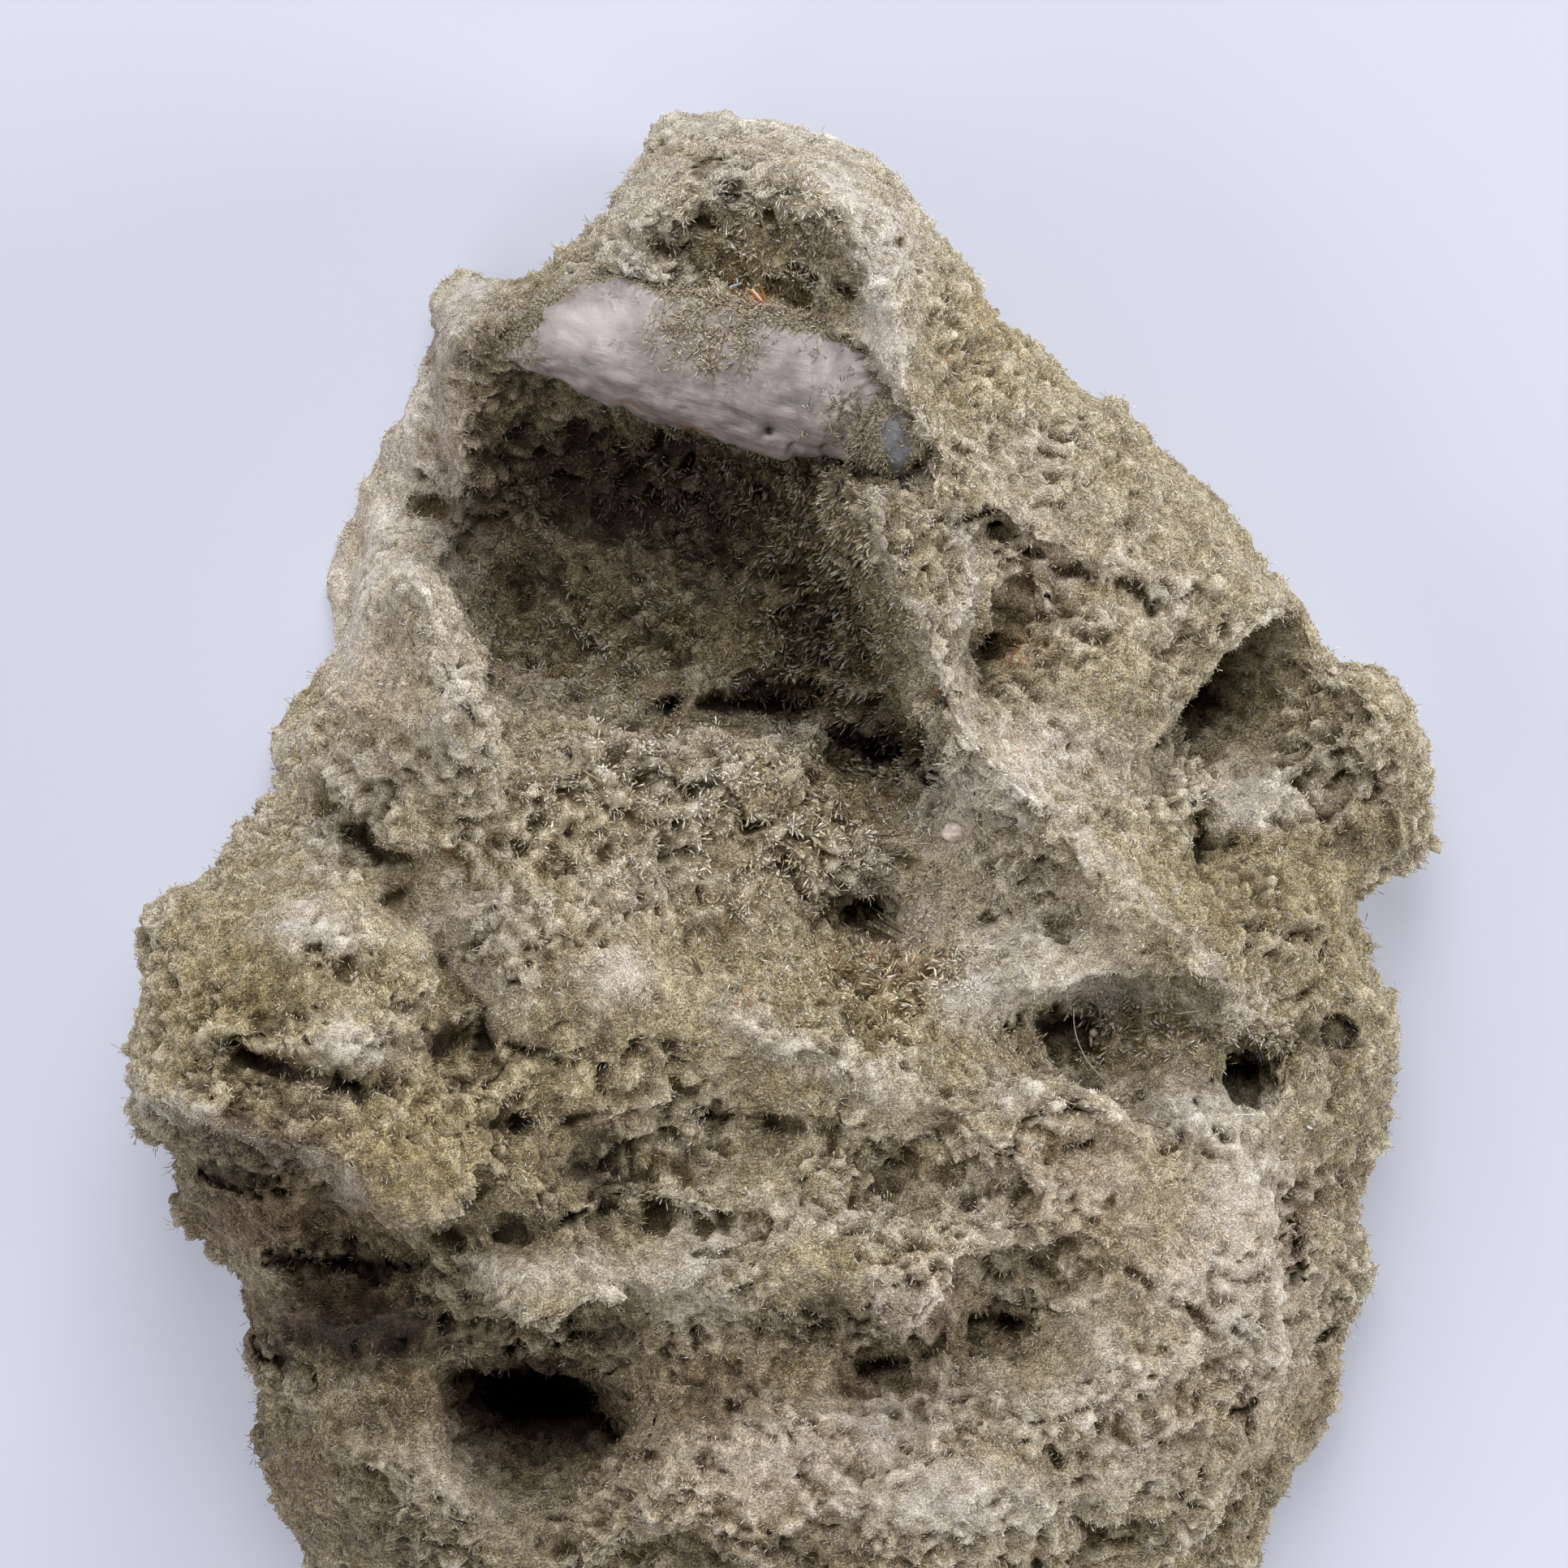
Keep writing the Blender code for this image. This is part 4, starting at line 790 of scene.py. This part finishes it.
def pit_depth(points):
    """How far the small pits go down at points."""
    depth = np.zeros(len(points))
    ragged = 1 + 0.5 * noise_at(points, 0.9, 3.0) + 0.5 * noise_at(points, 0.38, 5.0)
    ragged += 0.35 * noise_at(points, 0.2, 6.0)
    for centre, radii, turn, deepest in PITS:
        across, along = turned_offsets(points, centre, radii, turn)
        depth += deepest * (1 - smooth_step(0.55, 1.3, np.hypot(across, along) * ragged))
    drift = np.stack([noise_at(points, 1.0, 12.0), noise_at(points, 1.0, 15.0)], axis=1)
    places = columns_rows(points) + 14 * drift
    broken = smooth_step(-0.25, 0.1, noise_at(points, 1.3, 17.0))
    for line, half_width, deepest in CRACKS:
        away = line_distance(places, line) * PLAN_STEP / half_width
        depth = np.maximum(depth, broken * deepest * (1 - smooth_step(0.4, 1.7, away * ragged)))
    return depth


def soft_forms(points):
    """How high the soft hills and dells stand at points."""
    height = np.zeros(len(points))
    for centre, radii, turn, rise in FORMS:
        across, along = turned_offsets(points, centre, radii, turn)
        height += rise * np.exp(-(across**2) - along**2)
    return height


def near_lens(points):
    """1 for points beside the quartz lens, falling to 0 away from it."""
    lens = merged_copy("quartz_lens", "lens_form")
    corners = [corner.co for corner in lens.data.vertices]
    tree = BVHTree.FromPolygons(corners, [face.vertices for face in lens.data.polygons])
    bpy.data.objects.remove(lens)
    far = [tree.find_nearest(Vector(point), SEAM_REACH)[3] for point in points]
    far = np.array([SEAM_REACH if found is None else found for found in far])
    return 1 - smooth_step(0.3 * SEAM_REACH, SEAM_REACH, far)


def bends(points, normals, ends, rounds):
    """How far points lie inside (positive) or outside (negative) the smoothed form around them."""
    return ((spread(points, ends, rounds) - points) * normals).sum(axis=1)


def drop_crumbs(work, fewest):
    """Deletes the loose parts of a mesh that have fewer faces than the given number."""
    left = set(work.faces)
    crumbs = []
    while left:
        part, waiting = [], [left.pop()]
        while waiting:
            face = waiting.pop()
            part.append(face)
            near = {other for edge in face.edges for other in edge.link_faces} & left
            left -= near
            waiting.extend(near)
        if len(part) < fewest:
            crumbs += part
    bmesh.ops.delete(work, geom=crumbs, context="FACES")


def bands(obj, name, cuts):
    """Capped slices of a piece between planes across it, so that no slice has too many faces."""
    pieces = []
    for number, (south, north) in enumerate(zip((None, *cuts), (*cuts, None)), 1):
        work = bmesh.new()
        work.from_mesh(obj.data)
        for cut, way in ((south, -1.0), (north, 1.0)):
            if cut is None:
                continue
            sliced = bmesh.ops.bisect_plane(
                work, geom=[*work.verts, *work.edges, *work.faces], plane_co=(0, cut, 0),
                plane_no=(0, way, 0), clear_outer=True,
            )
            rim = [part for part in sliced["geom_cut"] if isinstance(part, bmesh.types.BMEdge)]
            cap = bmesh.ops.triangle_fill(work, use_beauty=False, use_dissolve=False, edges=rim)["geom"]
            cap = [part for part in cap if isinstance(part, bmesh.types.BMFace)]
            for face in cap:
                face.normal_update()
            bmesh.ops.reverse_faces(work, faces=[face for face in cap if face.normal.y * way < 0])
            for edge in rim:
                edge.smooth = False
        bmesh.ops.holes_fill(work, edges=[edge for edge in work.edges if edge.is_boundary], sides=0)
        bmesh.ops.triangulate(work, faces=work.faces)
        drop_crumbs(work, FEWEST_FACES)
        mesh = bpy.data.meshes.new(f"{name}_{number}")
        work.to_mesh(mesh)
        work.free()
        for material in obj.data.materials:
            mesh.materials.append(material)
        pieces.append(new_object(f"{name}_{number}", mesh))
    bpy.data.objects.remove(obj)
    return pieces


def lump_skin():
    """The crumbly skin in bands, and what the needles need to know of it."""
    skin = remeshed(merged_copy("rock", "rock_skin"), SKIN_VOXEL)
    mesh = skin.data
    ends = read_edges(mesh)
    points = spread(read_points(mesh), ends, 4)
    write_points(mesh, points)
    normals = read_normals(mesh)
    above = smooth_step(0.3, 1.6, points[:, 2])
    clump = clumps_at(points)
    places = columns_rows(points)
    powder = dust_cover(places)
    calm = CALM[0] + (CALM[1] - CALM[0]) * smooth_step(-0.35, 0.25, noise_at(points, CALM_SIZE, 11.0))
    calm = calm * (1 - 0.55 * powder)
    calm *= 1 - patch_strength(places, CALM_PATCHES)
    flat = points / SPECK_SIZE
    cloud = noise_at(flat, 1.0, 7.0) + 0.6 * noise_at(flat, 0.45, 3.0) + 0.35 * noise_at(flat, 0.22, 5.0)
    specks = smooth_step(0.2, 0.55, cloud * calm)
    woven = noise_at(points, MAT_SIZE, 13.0) + 0.5 * noise_at(points, MAT_SIZE / 2, 14.0)
    mat = smooth_step(-0.2, 0.14, woven)
    height = CLUMP_HEIGHT * (smooth_step(0.05, 0.6, clump) - 0.7) + MAT_HEIGHT * (mat - 0.6)
    for size, amount in GRAINS:
        height += amount * noise_at(points, size, size)
    coarse = patch_strength(places, COARSE)
    height = height * calm * (1 + COARSE_RELIEF * coarse) - SPECK_DEPTH * specks
    height += SEAM_FILL * near_lens(points)
    points = points + normals * (above * (height - SKIN_SINK))[:, None]
    upward = above * smooth_step(0.1, 0.5, normals[:, 2])
    pits = pit_depth(points) * smooth_step(0.1, 0.5, normals[:, 2])
    points[:, 2] += upward * (soft_forms(points) - pits)
    write_points(mesh, points)
    normals = read_normals(mesh)
    small = bends(points, normals, ends, CRUMB_ROUNDS)
    large = bends(points, normals, ends, FORM_ROUNDS)
    hollow = np.clip(smooth_step(0.02, 0.16, small) * 0.6 + smooth_step(0.1, 0.9, large) * 0.6, 0, 1)
    crest = np.clip(smooth_step(0.03, 0.2, -small) * 0.5 + smooth_step(0.1, 0.8, -large) * 0.8, 0, 1)
    gaps = np.maximum(specks, 0.6 * smooth_step(0.25, 0.0, clump) * calm)
    gaps = np.maximum(gaps, 0.75 * (1 - mat) * (1 - 0.5 * powder))
    gaps = np.clip(np.maximum(gaps, smooth_step(0.15, 0.6, pits)), 0, 1)
    named = zones(points, hollow, crest, gaps)
    mottle = 0.55 * noise_at(points, 1.2, 19.0) + 0.4 * noise_at(points, 0.5, 21.0)
    # The tone holds painted light on the crests and painted shade in the hollows, and a random mottle.
    named["tone"] = LIGHT_AND_SHADE_BY_FORM * (crest - hollow) + TONE_BY_CLUMP * mottle
    for name, numbers in {**named, "tone": named["tone"] - SKIN_SHADE_AMONG_COARSE * coarse}.items():
        keep_numbers(mesh, name, numbers)
    named.update(hollow=hollow, gaps=gaps)
    mesh.materials.append(skin_finish())
    ground = (points, normals, read_triangles(mesh), named)
    return [finish_mesh(band) for band in bands(skin, "rock_skin", SKIN_CUTS)], ground


def scattered(rng, points, triangles, weights, count):
    """Places on the triangles, more where the weights are high: triangle numbers and corner shares."""
    edge_1 = points[triangles[:, 1]] - points[triangles[:, 0]]
    edge_2 = points[triangles[:, 2]] - points[triangles[:, 0]]
    area = np.linalg.norm(np.cross(edge_1, edge_2), axis=1) * weights[triangles].mean(axis=1)
    chosen = rng.choice(len(triangles), size=count, p=area / area.sum())
    first, second = rng.random(count), rng.random(count)
    flip = first + second > 1
    first[flip], second[flip] = 1 - first[flip], 1 - second[flip]
    return triangles[chosen], np.stack([1 - first - second, first, second], axis=1)


def unit(vectors):
    return vectors / np.linalg.norm(vectors, axis=-1, keepdims=True)


def combing(places, rng):
    """For plan places: the way the needles are combed, how strongly, and a factor on their length."""
    way = np.zeros((len(places), 3))
    strong = np.zeros(len(places))
    longer = np.ones(len(places))
    for centre, radii, aim, strength, factor in COMBED:
        share = np.exp(-(np.hypot(*((places - centre) / radii).T) ** 2) * 0.8)
        way[:, 0] += aim[0] * strength * share
        way[:, 1] += aim[1] * strength * share
        strong = np.maximum(strong, strength * share)
        longer = np.maximum(longer, 1 + (factor - 1) * share)
    return way, strong, longer


def needle_mesh(name, rng, roots, aims, lengths, half_widths):
    """Slender crystals, each from a point in the skin to a three-sided slanting end."""
    count = len(roots)
    helper = np.where(np.abs(aims[:, 2:]) < 0.9, (0.0, 0.0, 1.0), (1.0, 0.0, 0.0))
    side = unit(np.cross(aims, helper))
    other = np.cross(aims, side)
    turns = rng.uniform(0, 2 * math.pi, count)
    corners = np.empty((count, 4, 3))
    corners[:, 0] = roots - aims * NEEDLE_ROOT
    for corner in range(3):
        angle = turns + corner * 2 * math.pi / 3
        offset = np.cos(angle)[:, None] * side + np.sin(angle)[:, None] * other
        reach = lengths * (1.0, 0.88, 0.8)[corner]
        corners[:, 1 + corner] = roots + offset * half_widths[:, None] + aims * reach[:, None]
    one = np.array([(0, 2, 1), (0, 3, 2), (0, 1, 3), (1, 2, 3)])
    faces = (one[None] + 4 * np.arange(count)[:, None, None]).reshape(-1)
    mesh = bpy.data.meshes.new(name)
    mesh.vertices.add(count * 4)
    mesh.vertices.foreach_set("co", corners.ravel())
    mesh.loops.add(len(faces))
    mesh.loops.foreach_set("vertex_index", faces)
    mesh.polygons.add(len(faces) // 3)
    mesh.polygons.foreach_set("loop_start", np.arange(0, len(faces), 3))
    mesh.update(calc_edges=True)
    # The tip number is 0 at the root, where the painted shade is darkest.
    keep_numbers(mesh, "tip", np.tile((0.0, 1.0, 0.95, 0.9), count))
    return mesh


def grown(rng, ground, weights, tufts):
    """Tufts of needles: their roots, aims, lengths and widths, and the ground's numbers there."""
    points, normals, triangles, named = ground
    corners, shares = scattered(rng, points, triangles, weights, tufts)
    roots = (points[corners] * shares[:, :, None]).sum(axis=1)
    out = unit((normals[corners] * shares[:, :, None]).sum(axis=1))
    numbers = {name: (value[corners] * shares).sum(axis=1) for name, value in named.items()}
    places = columns_rows(roots)
    way, strong, longer = combing(places, rng)
    coarse = patch_strength(places, COARSE)
    loose = rng.normal(size=(tufts, 3))
    along = unit(loose - (loose * out).sum(axis=1)[:, None] * out)
    lean = rng.uniform(0.3, 1.6, tufts) * (1 - 0.7 * strong)
    aims = 0.55 * out + along * lean[:, None] + way * 1.2
    each = NEEDLES_A_TUFT
    count = tufts * each
    roots, out, aims = (np.repeat(values, each, axis=0) for values in (roots, out, aims))
    longer, coarse, strong = (np.repeat(values, each) for values in (longer, coarse, strong))
    numbers = {name: np.repeat(value, each) for name, value in numbers.items()}
    scatter = rng.normal(size=(count, 3))
    scatter -= (scatter * out).sum(axis=1)[:, None] * out
    roots = roots + scatter * (TUFT_SPREAD * (1 - 0.35 * coarse))[:, None]
    splay = (rng.uniform(0.3, 1.2, count) * (1 - 0.7 * strong))[:, None]
    aims = unit(aims + splay * scatter + (0.7 - 0.4 * strong)[:, None] * rng.normal(size=(count, 3)))
    rise = (aims * out).sum(axis=1)
    lift = np.clip(0.12 - rise, 0, None) - 0.35 * np.clip(rise - 0.5, 0, None)
    aims = unit(aims + lift[:, None] * 1.2 * out)
    shortest, longest = NEEDLE_LENGTH
    lengths = shortest + (longest - shortest) * rng.beta(1.3, 2.6, count)
    level = 0.3 + 0.7 * smooth_step(0.1, 0.7, out[:, 2])
    lengths *= longer * (1 - 0.4 * numbers["dust"]) * (1 + 0.8 * coarse) * level
    half_widths = rng.uniform(*NEEDLE_HALF_WIDTH, count) * (1 + 1.7 * coarse)
    tone = numbers["tone"] + np.repeat(rng.uniform(-0.15, 0.15, tufts), each)
    numbers["own"] = np.clip(0.1 + 0.06 * coarse + 0.78 * rng.beta(1.3, 1.5, count) + tone, 0, 1)
    numbers["white"] = (rng.random(count) < WHITE_SHARE).astype(float)
    return (roots, aims, lengths, half_widths), numbers


def felt(rock, quartz):
    """The needles over the lump and the quartz, in pieces from the upper end to the lower."""
    rng = np.random.default_rng(SEED)
    points, normals, _, named = rock
    top = smooth_step(-0.2, 0.5, normals[:, 2])
    weights = smooth_step(0.2, 0.9, points[:, 2]) * (0.35 + 0.65 * top)
    coarse = patch_strength(columns_rows(points), COARSE)
    weights *= (1 - 0.92 * named["gaps"]) * (1 - 0.3 * named["hollow"]) * (1 - 0.4 * coarse)
    weights *= 1 - inside(columns_rows(points), KNOB_BARE)
    shapes, numbers = grown(rng, rock, weights, TUFT_COUNT)
    more, extra = grown(rng, quartz, 1 - quartz[3]["bare"], QUARTZ_TUFTS)
    shapes = [np.concatenate(pair) for pair in zip(shapes, more)]
    order = np.argsort(-shapes[0][:, 1], kind="stable")
    finish = felt_finish()
    pieces = []
    for number, chosen in enumerate(np.array_split(order, math.ceil(len(order) / NEEDLES_A_PIECE)), 1):
        name = f"felt_{number}"
        piece = new_object(name, needle_mesh(name, rng, *(values[chosen] for values in shapes)))
        for kind in (*ZONE_NAMES, "own", "white"):
            values = np.concatenate([numbers[kind], extra[kind]])
            keep_numbers(piece.data, kind, np.repeat(values[chosen], 4))
        piece.data.materials.append(finish)
        pieces.append(finish_mesh(piece, smooth=False))
    return pieces


# The quartz


def quartz_finish():
    """Milky quartz in faint streaks, clearer and bluish at its knob, brown along its lower edge, and with
    painted shade in its small hole.
    """
    paint = Paint("milky quartz")
    veil = paint.sum("ADD", paint.grain(0.7, 5.0), paint.streaks(QUARTZ_TURN, 1.3, 0.4), clamp=False)
    veil = paint.sum("MULTIPLY", veil, 0.5)
    milk = paint.blend(paint.span(veil, 0.38, 0.62), (0.155, 0.129, 0.125), (0.32, 0.273, 0.264))
    milk = paint.blend(paint.number("white"), milk, (0.47, 0.42, 0.41))
    tufted = paint.span(paint.grain(0.22, 3.0), 0.42, 0.58)
    mossy = paint.blend(tufted, (0.10, 0.07, 0.025), (0.34, 0.29, 0.22))
    milk = paint.blend(paint.number("moss"), milk, mossy)
    milk = paint.blend(paint.number("edge"), milk, (0.26, 0.14, 0.06))
    milk = paint.blend(paint.number("knob"), milk, (0.115, 0.112, 0.122))
    # Painted shade: the crust on the quartz is twice as dim as the skin.
    crust = felt_tone(paint, paint.span(paint.grain(0.07, 2.0), 0.38, 0.62), 0.5 * SKIN_DIM)
    milk = paint.blend(paint.number("crust"), milk, crust)
    # Painted shade: the small hole is coloured nearly black.
    paint.set("Base Color", paint.blend(paint.number("hole"), milk, (0.05, 0.035, 0.025)))
    paint.set("Roughness", 0.38)
    paint.set("IOR", 1.54)
    paint.set("Subsurface Weight", 0.3)
    paint.set("Subsurface Radius", (0.9, 0.8, 0.8))
    paint.set("Subsurface Scale", 0.4 * MM)
    fine = paint.sum("ADD", paint.grain(0.2, 4.0), paint.streaks(QUARTZ_TURN, 0.7, 0.12), False)
    paint.bump(paint.sum("MULTIPLY", fine, 0.5), 0.08)
    return paint.material


def quartz_body():
    """The milky lens, which fills its place in the lump, with its clear knob on the crest."""
    lens = remeshed(merged_copy("quartz_lens", "quartz_body"), QUARTZ_VOXEL)
    mesh = lens.data
    ends = read_edges(mesh)
    points = spread(read_points(mesh), ends, 6)
    write_points(mesh, points)
    normals = read_normals(mesh)
    lobes = noise_at(points, 1.3, 1.0)
    ripples = noise_at(points, 0.5, 2.0)
    lip = smooth_step(0.0, -0.5, normals[:, 1])
    swell = QUARTZ_SWELL * (1 - 0.8 * smooth_step(0.3, 0.9, normals[:, 2])) * (1 - lip)
    angle = math.radians(QUARTZ_TURN)
    along = points @ np.array([math.cos(angle), math.sin(angle), 0])
    across = points @ np.array([-math.sin(angle), math.cos(angle), 0])
    ridges = noise_at(np.stack([along / 2.2, across / 0.42, points[:, 2] / 0.5], axis=1), 1.0, 3.0)
    swell += (0.18 - 0.08 * lip) * lobes + 0.08 * ripples + 0.07 * ridges
    points = points + normals * swell[:, None]
    points[:, 2] -= KNOB_SINK * smooth_step(1062, 1082, columns_rows(points)[:, 0])
    for place, radius, depth in QUARTZ_NOTCHES:
        away = np.hypot(*((points[:, :2] - plan(place)[0]) / (radius * PLAN_STEP)).T)
        points[:, 1] += depth * np.exp(-(away**2))
    from_hole = np.hypot(*(points[:, :2] - plan(QUARTZ_HOLE)[0]).T) / HOLE_RADIUS
    hole = np.exp(-(from_hole**2)) * smooth_step(0, 0.3, normals[:, 2])
    points[:, 2] -= HOLE_DEPTH * hole
    write_points(mesh, points)
    normals = read_normals(mesh)
    places = columns_rows(points) + 12 * np.stack([lobes + ripples, ripples], axis=1)
    cleared = np.maximum(inside(places, QUARTZ_BARE).astype(float), inside(places, KNOB_BARE))
    cleared = np.maximum(cleared, smooth_step(0.1, -0.2, normals[:, 2]))
    bare = np.minimum(cleared, 1 - 0.8 * patch_strength(places, QUARTZ_OVERGROWN))
    edge = smooth_step(4.0, 1.5, line_distance(columns_rows(points), QUARTZ_LIP))
    edge = edge * smooth_step(0.6, 0.1, normals[:, 2])
    named = {
        "bare": bare, "edge": 0.8 * edge, "knob": smooth_step(1072, 1092, places[:, 0]),
        "hole": smooth_step(0.2, 0.7, hole), "white": patch_strength(places, QUARTZ_WHITE),
        "dust": np.full(len(points), 0.3),
    }
    named["moss"] = 0.7 * np.clip(patch_strength(places, QUARTZ_OVERGROWN), 0, 1)
    named["crust"] = 1 - smooth_step(0.0, 0.4, cleared)
    for kind in ("white", "edge", "knob", "hole", "moss", "crust"):
        keep_numbers(mesh, kind, named[kind])
    named.update({kind: np.zeros(len(points)) for kind in (*ZONE_NAMES, "tone") if kind not in named})
    named["rust"] = np.clip(patch_strength(places, RUST_PATCHES), 0, 1)
    named["olive"] += 0.5
    column = places[:, 0]
    # Painted shade on the needles over the quartz, darker towards its right and left ends.
    named["deep"] = 0.25 + 0.4 * smooth_step(1000, 1050, column) + 0.3 * smooth_step(700, 660, column)
    mesh.materials.append(quartz_finish())
    return finish_mesh(lens), (points, normals, read_triangles(mesh), named)


# Single small pieces


def ground_height(points, place):
    """How high the lump is at a plan place."""
    away = np.hypot(*(points[:, :2] - plan(place)[0]).T)
    return points[away < SKIN_VOXEL, 2].max()


def straws(points):
    """Single crystals, each a six-sided blade between two plan places."""
    work = bmesh.new()
    numbers = {kind: [] for kind in STRAW_KINDS}
    for start, end, rises, half_width, kind in STRAWS:
        ends = [
            Vector((*plan(place)[0], ground_height(points, place) + rise))
            for place, rise in zip((start, end), rises)
        ]
        way = ends[1] - ends[0]
        shape = Matrix.Translation((ends[0] + ends[1]) / 2) @ way.to_track_quat("Z", "Y").to_matrix().to_4x4()
        shape = shape @ Matrix.Diagonal((half_width, 0.6 * half_width, way.length, 1))
        made = bmesh.ops.create_cone(
            work, cap_ends=True, segments=6, radius1=1, radius2=0.75, depth=1, matrix=shape
        )
        for name in numbers:
            numbers[name] += [float(name == kind)] * len(made["verts"])
    bmesh.ops.triangulate(work, faces=work.faces)
    mesh = bpy.data.meshes.new("single_crystals")
    work.to_mesh(mesh)
    work.free()
    for name, values in numbers.items():
        keep_numbers(mesh, name, values)
    paint = Paint("single crystals")
    tone = paint.blend(paint.grain(0.08, 2.0), (0.20, 0.15, 0.06), (0.42, 0.36, 0.22))
    tone = paint.blend(paint.number("dark"), tone, (0.07, 0.055, 0.03))
    # Painted highlight: the clear crystals are pale grey-white to stand for their glints.
    tone = paint.blend(paint.number("clear"), tone, (0.60, 0.62, 0.66))
    paint.set("Base Color", paint.blend(paint.number("rusty"), tone, (0.45, 0.16, 0.03)))
    paint.set("Roughness", 0.2)
    paint.set("IOR", 1.66)
    mesh.materials.append(paint.material)
    return finish_mesh(new_object("single_crystals", mesh), smooth=False)


def grains_on_top(points):
    """The pink and white grain on the crest's slope, and the bead on its stalk in the second hollow."""
    work = bmesh.new()
    for place, sizes, sink, lumps in PEBBLES:
        centre = Vector((*plan(place)[0], ground_height(points, place) + sink))
        made = bmesh.ops.create_icosphere(work, subdivisions=3, radius=1)
        for vertex in made["verts"]:
            swell = 1 + lumps * noise.noise(vertex.co * 1.6 + centre)
            vertex.co = centre + Vector([part * size * swell for part, size in zip(vertex.co, sizes)])
    mesh = bpy.data.meshes.new("grains")
    work.to_mesh(mesh)
    work.free()
    paint = Paint("pale grains")
    mottled = paint.span(paint.grain(0.15, 3.0), 0.4, 0.6)
    paint.set("Base Color", paint.blend(mottled, (0.62, 0.47, 0.41), (0.78, 0.68, 0.62)))
    paint.set("Roughness", 0.45)
    paint.bump(paint.grain(0.1, 3.0), 0.04)
    mesh.materials.append(paint.material)
    return finish_mesh(new_object("grains", mesh))


def lint(points):
    """The stray hair of lint that hangs over the second hollow."""
    curve = bpy.data.curves.new("lint", "CURVE")
    curve.dimensions = "3D"
    curve.bevel_depth = LINT_HALF_WIDTH
    curve.bevel_resolution = 1
    curve.use_fill_caps = True
    spline = curve.splines.new("NURBS")
    spline.points.add(len(LINT) - 1)
    for point, (place, rise) in zip(spline.points, LINT):
        point.co = (*plan(place)[0], ground_height(points, LINT[0][0]) + rise, 1)
    spline.use_endpoint_u = True
    spline.order_u = 4
    obj = with_curve_mesh(new_object("lint_curve", curve), "lint")
    paint = Paint("lint")
    paint.set("Base Color", paint.blend(paint.grain(0.3), (0.42, 0.37, 0.30), (0.66, 0.61, 0.54)))
    paint.set("Roughness", 0.5)
    obj.data.materials.clear()
    obj.data.materials.append(paint.material)
    return finish_mesh(obj)


# The floor, the lights and the camera


def floor():
    work = bmesh.new()
    bmesh.ops.create_grid(work, x_segments=1, y_segments=1, size=2.0)
    mesh = bpy.data.meshes.new("floor")
    work.to_mesh(mesh)
    work.free()
    paint = Paint("pale card")
    paint.set("Base Color", (0.335, 0.345, 0.407, 1.0))
    paint.set("Emission Color", (0.246, 0.257, 0.300, 1.0))
    paint.set("Emission Strength", 1.0)
    paint.set("Roughness", 0.9)
    mesh.materials.append(paint.material)
    new_object("floor", mesh)


def lamp(name, compass, rise, power):
    """A square soft lamp that faces the lump."""
    light = bpy.data.lights.new(name, "AREA")
    light.size = LAMP_SIZE * MM
    light.energy = power
    obj = new_object(name, light)
    compass, rise = math.radians(compass), math.radians(rise)
    flat = math.cos(rise)
    way = Vector((math.sin(compass) * flat, math.cos(compass) * flat, math.sin(rise)))
    obj.location = way * LAMP_DISTANCE * MM
    obj.rotation_euler = (-way).to_track_quat("-Z", "Y").to_euler()
    obj.visible_camera = False


def room():
    """A dim room, a little paler low down."""
    world = bpy.data.worlds.new("room")
    bpy.context.scene.world = world
    world.use_nodes = True
    tree = world.node_tree
    sky = tree.nodes["Background"]
    sky.inputs["Color"].default_value = (0.92, 0.95, 1.0, 1.0)
    place = tree.nodes.new("ShaderNodeTexCoord")
    parts = tree.nodes.new("ShaderNodeSeparateXYZ")
    level = tree.nodes.new("ShaderNodeMapRange")
    level.inputs["From Max"].default_value = 0.35
    level.inputs["To Min"].default_value = ROOM_LOW
    level.inputs["To Max"].default_value = ROOM_HIGH
    tree.links.new(place.outputs["Generated"], parts.inputs["Vector"])
    tree.links.new(parts.outputs["Z"], level.inputs["Value"])
    tree.links.new(level.outputs["Result"], sky.inputs["Strength"])
    bpy.context.scene.view_settings.view_transform = "Standard"


def camera():
    east, north = plan(VIEW_MIDDLE)[0]
    lens = bpy.data.cameras.new("camera")
    lens.sensor_width = SENSOR
    lens.lens = SENSOR * CAMERA_DISTANCE / (VIEW_COLUMNS * PLAN_STEP)
    lens.clip_start = 0.01
    lens.clip_end = 20.0
    obj = new_object("camera", lens)
    obj.location = Vector((east, north, FOCUS_HEIGHT + CAMERA_DISTANCE)) * MM
    bpy.context.scene.camera = obj


camera()
floor()
room()
for name, (compass, rise, power) in LAMPS.items():
    lamp(name, compass, rise, power)
skin, rock_ground = lump_skin()
for band in skin:
    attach(band, "root")
    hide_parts("rock")
quartz, quartz_ground = quartz_body()
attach(quartz, "root")
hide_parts("quartz_lens")
single = [straws(rock_ground[0]), grains_on_top(rock_ground[0]), lint(rock_ground[0])]
for piece in (*felt(rock_ground, quartz_ground), *single):
    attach(piece, "root")
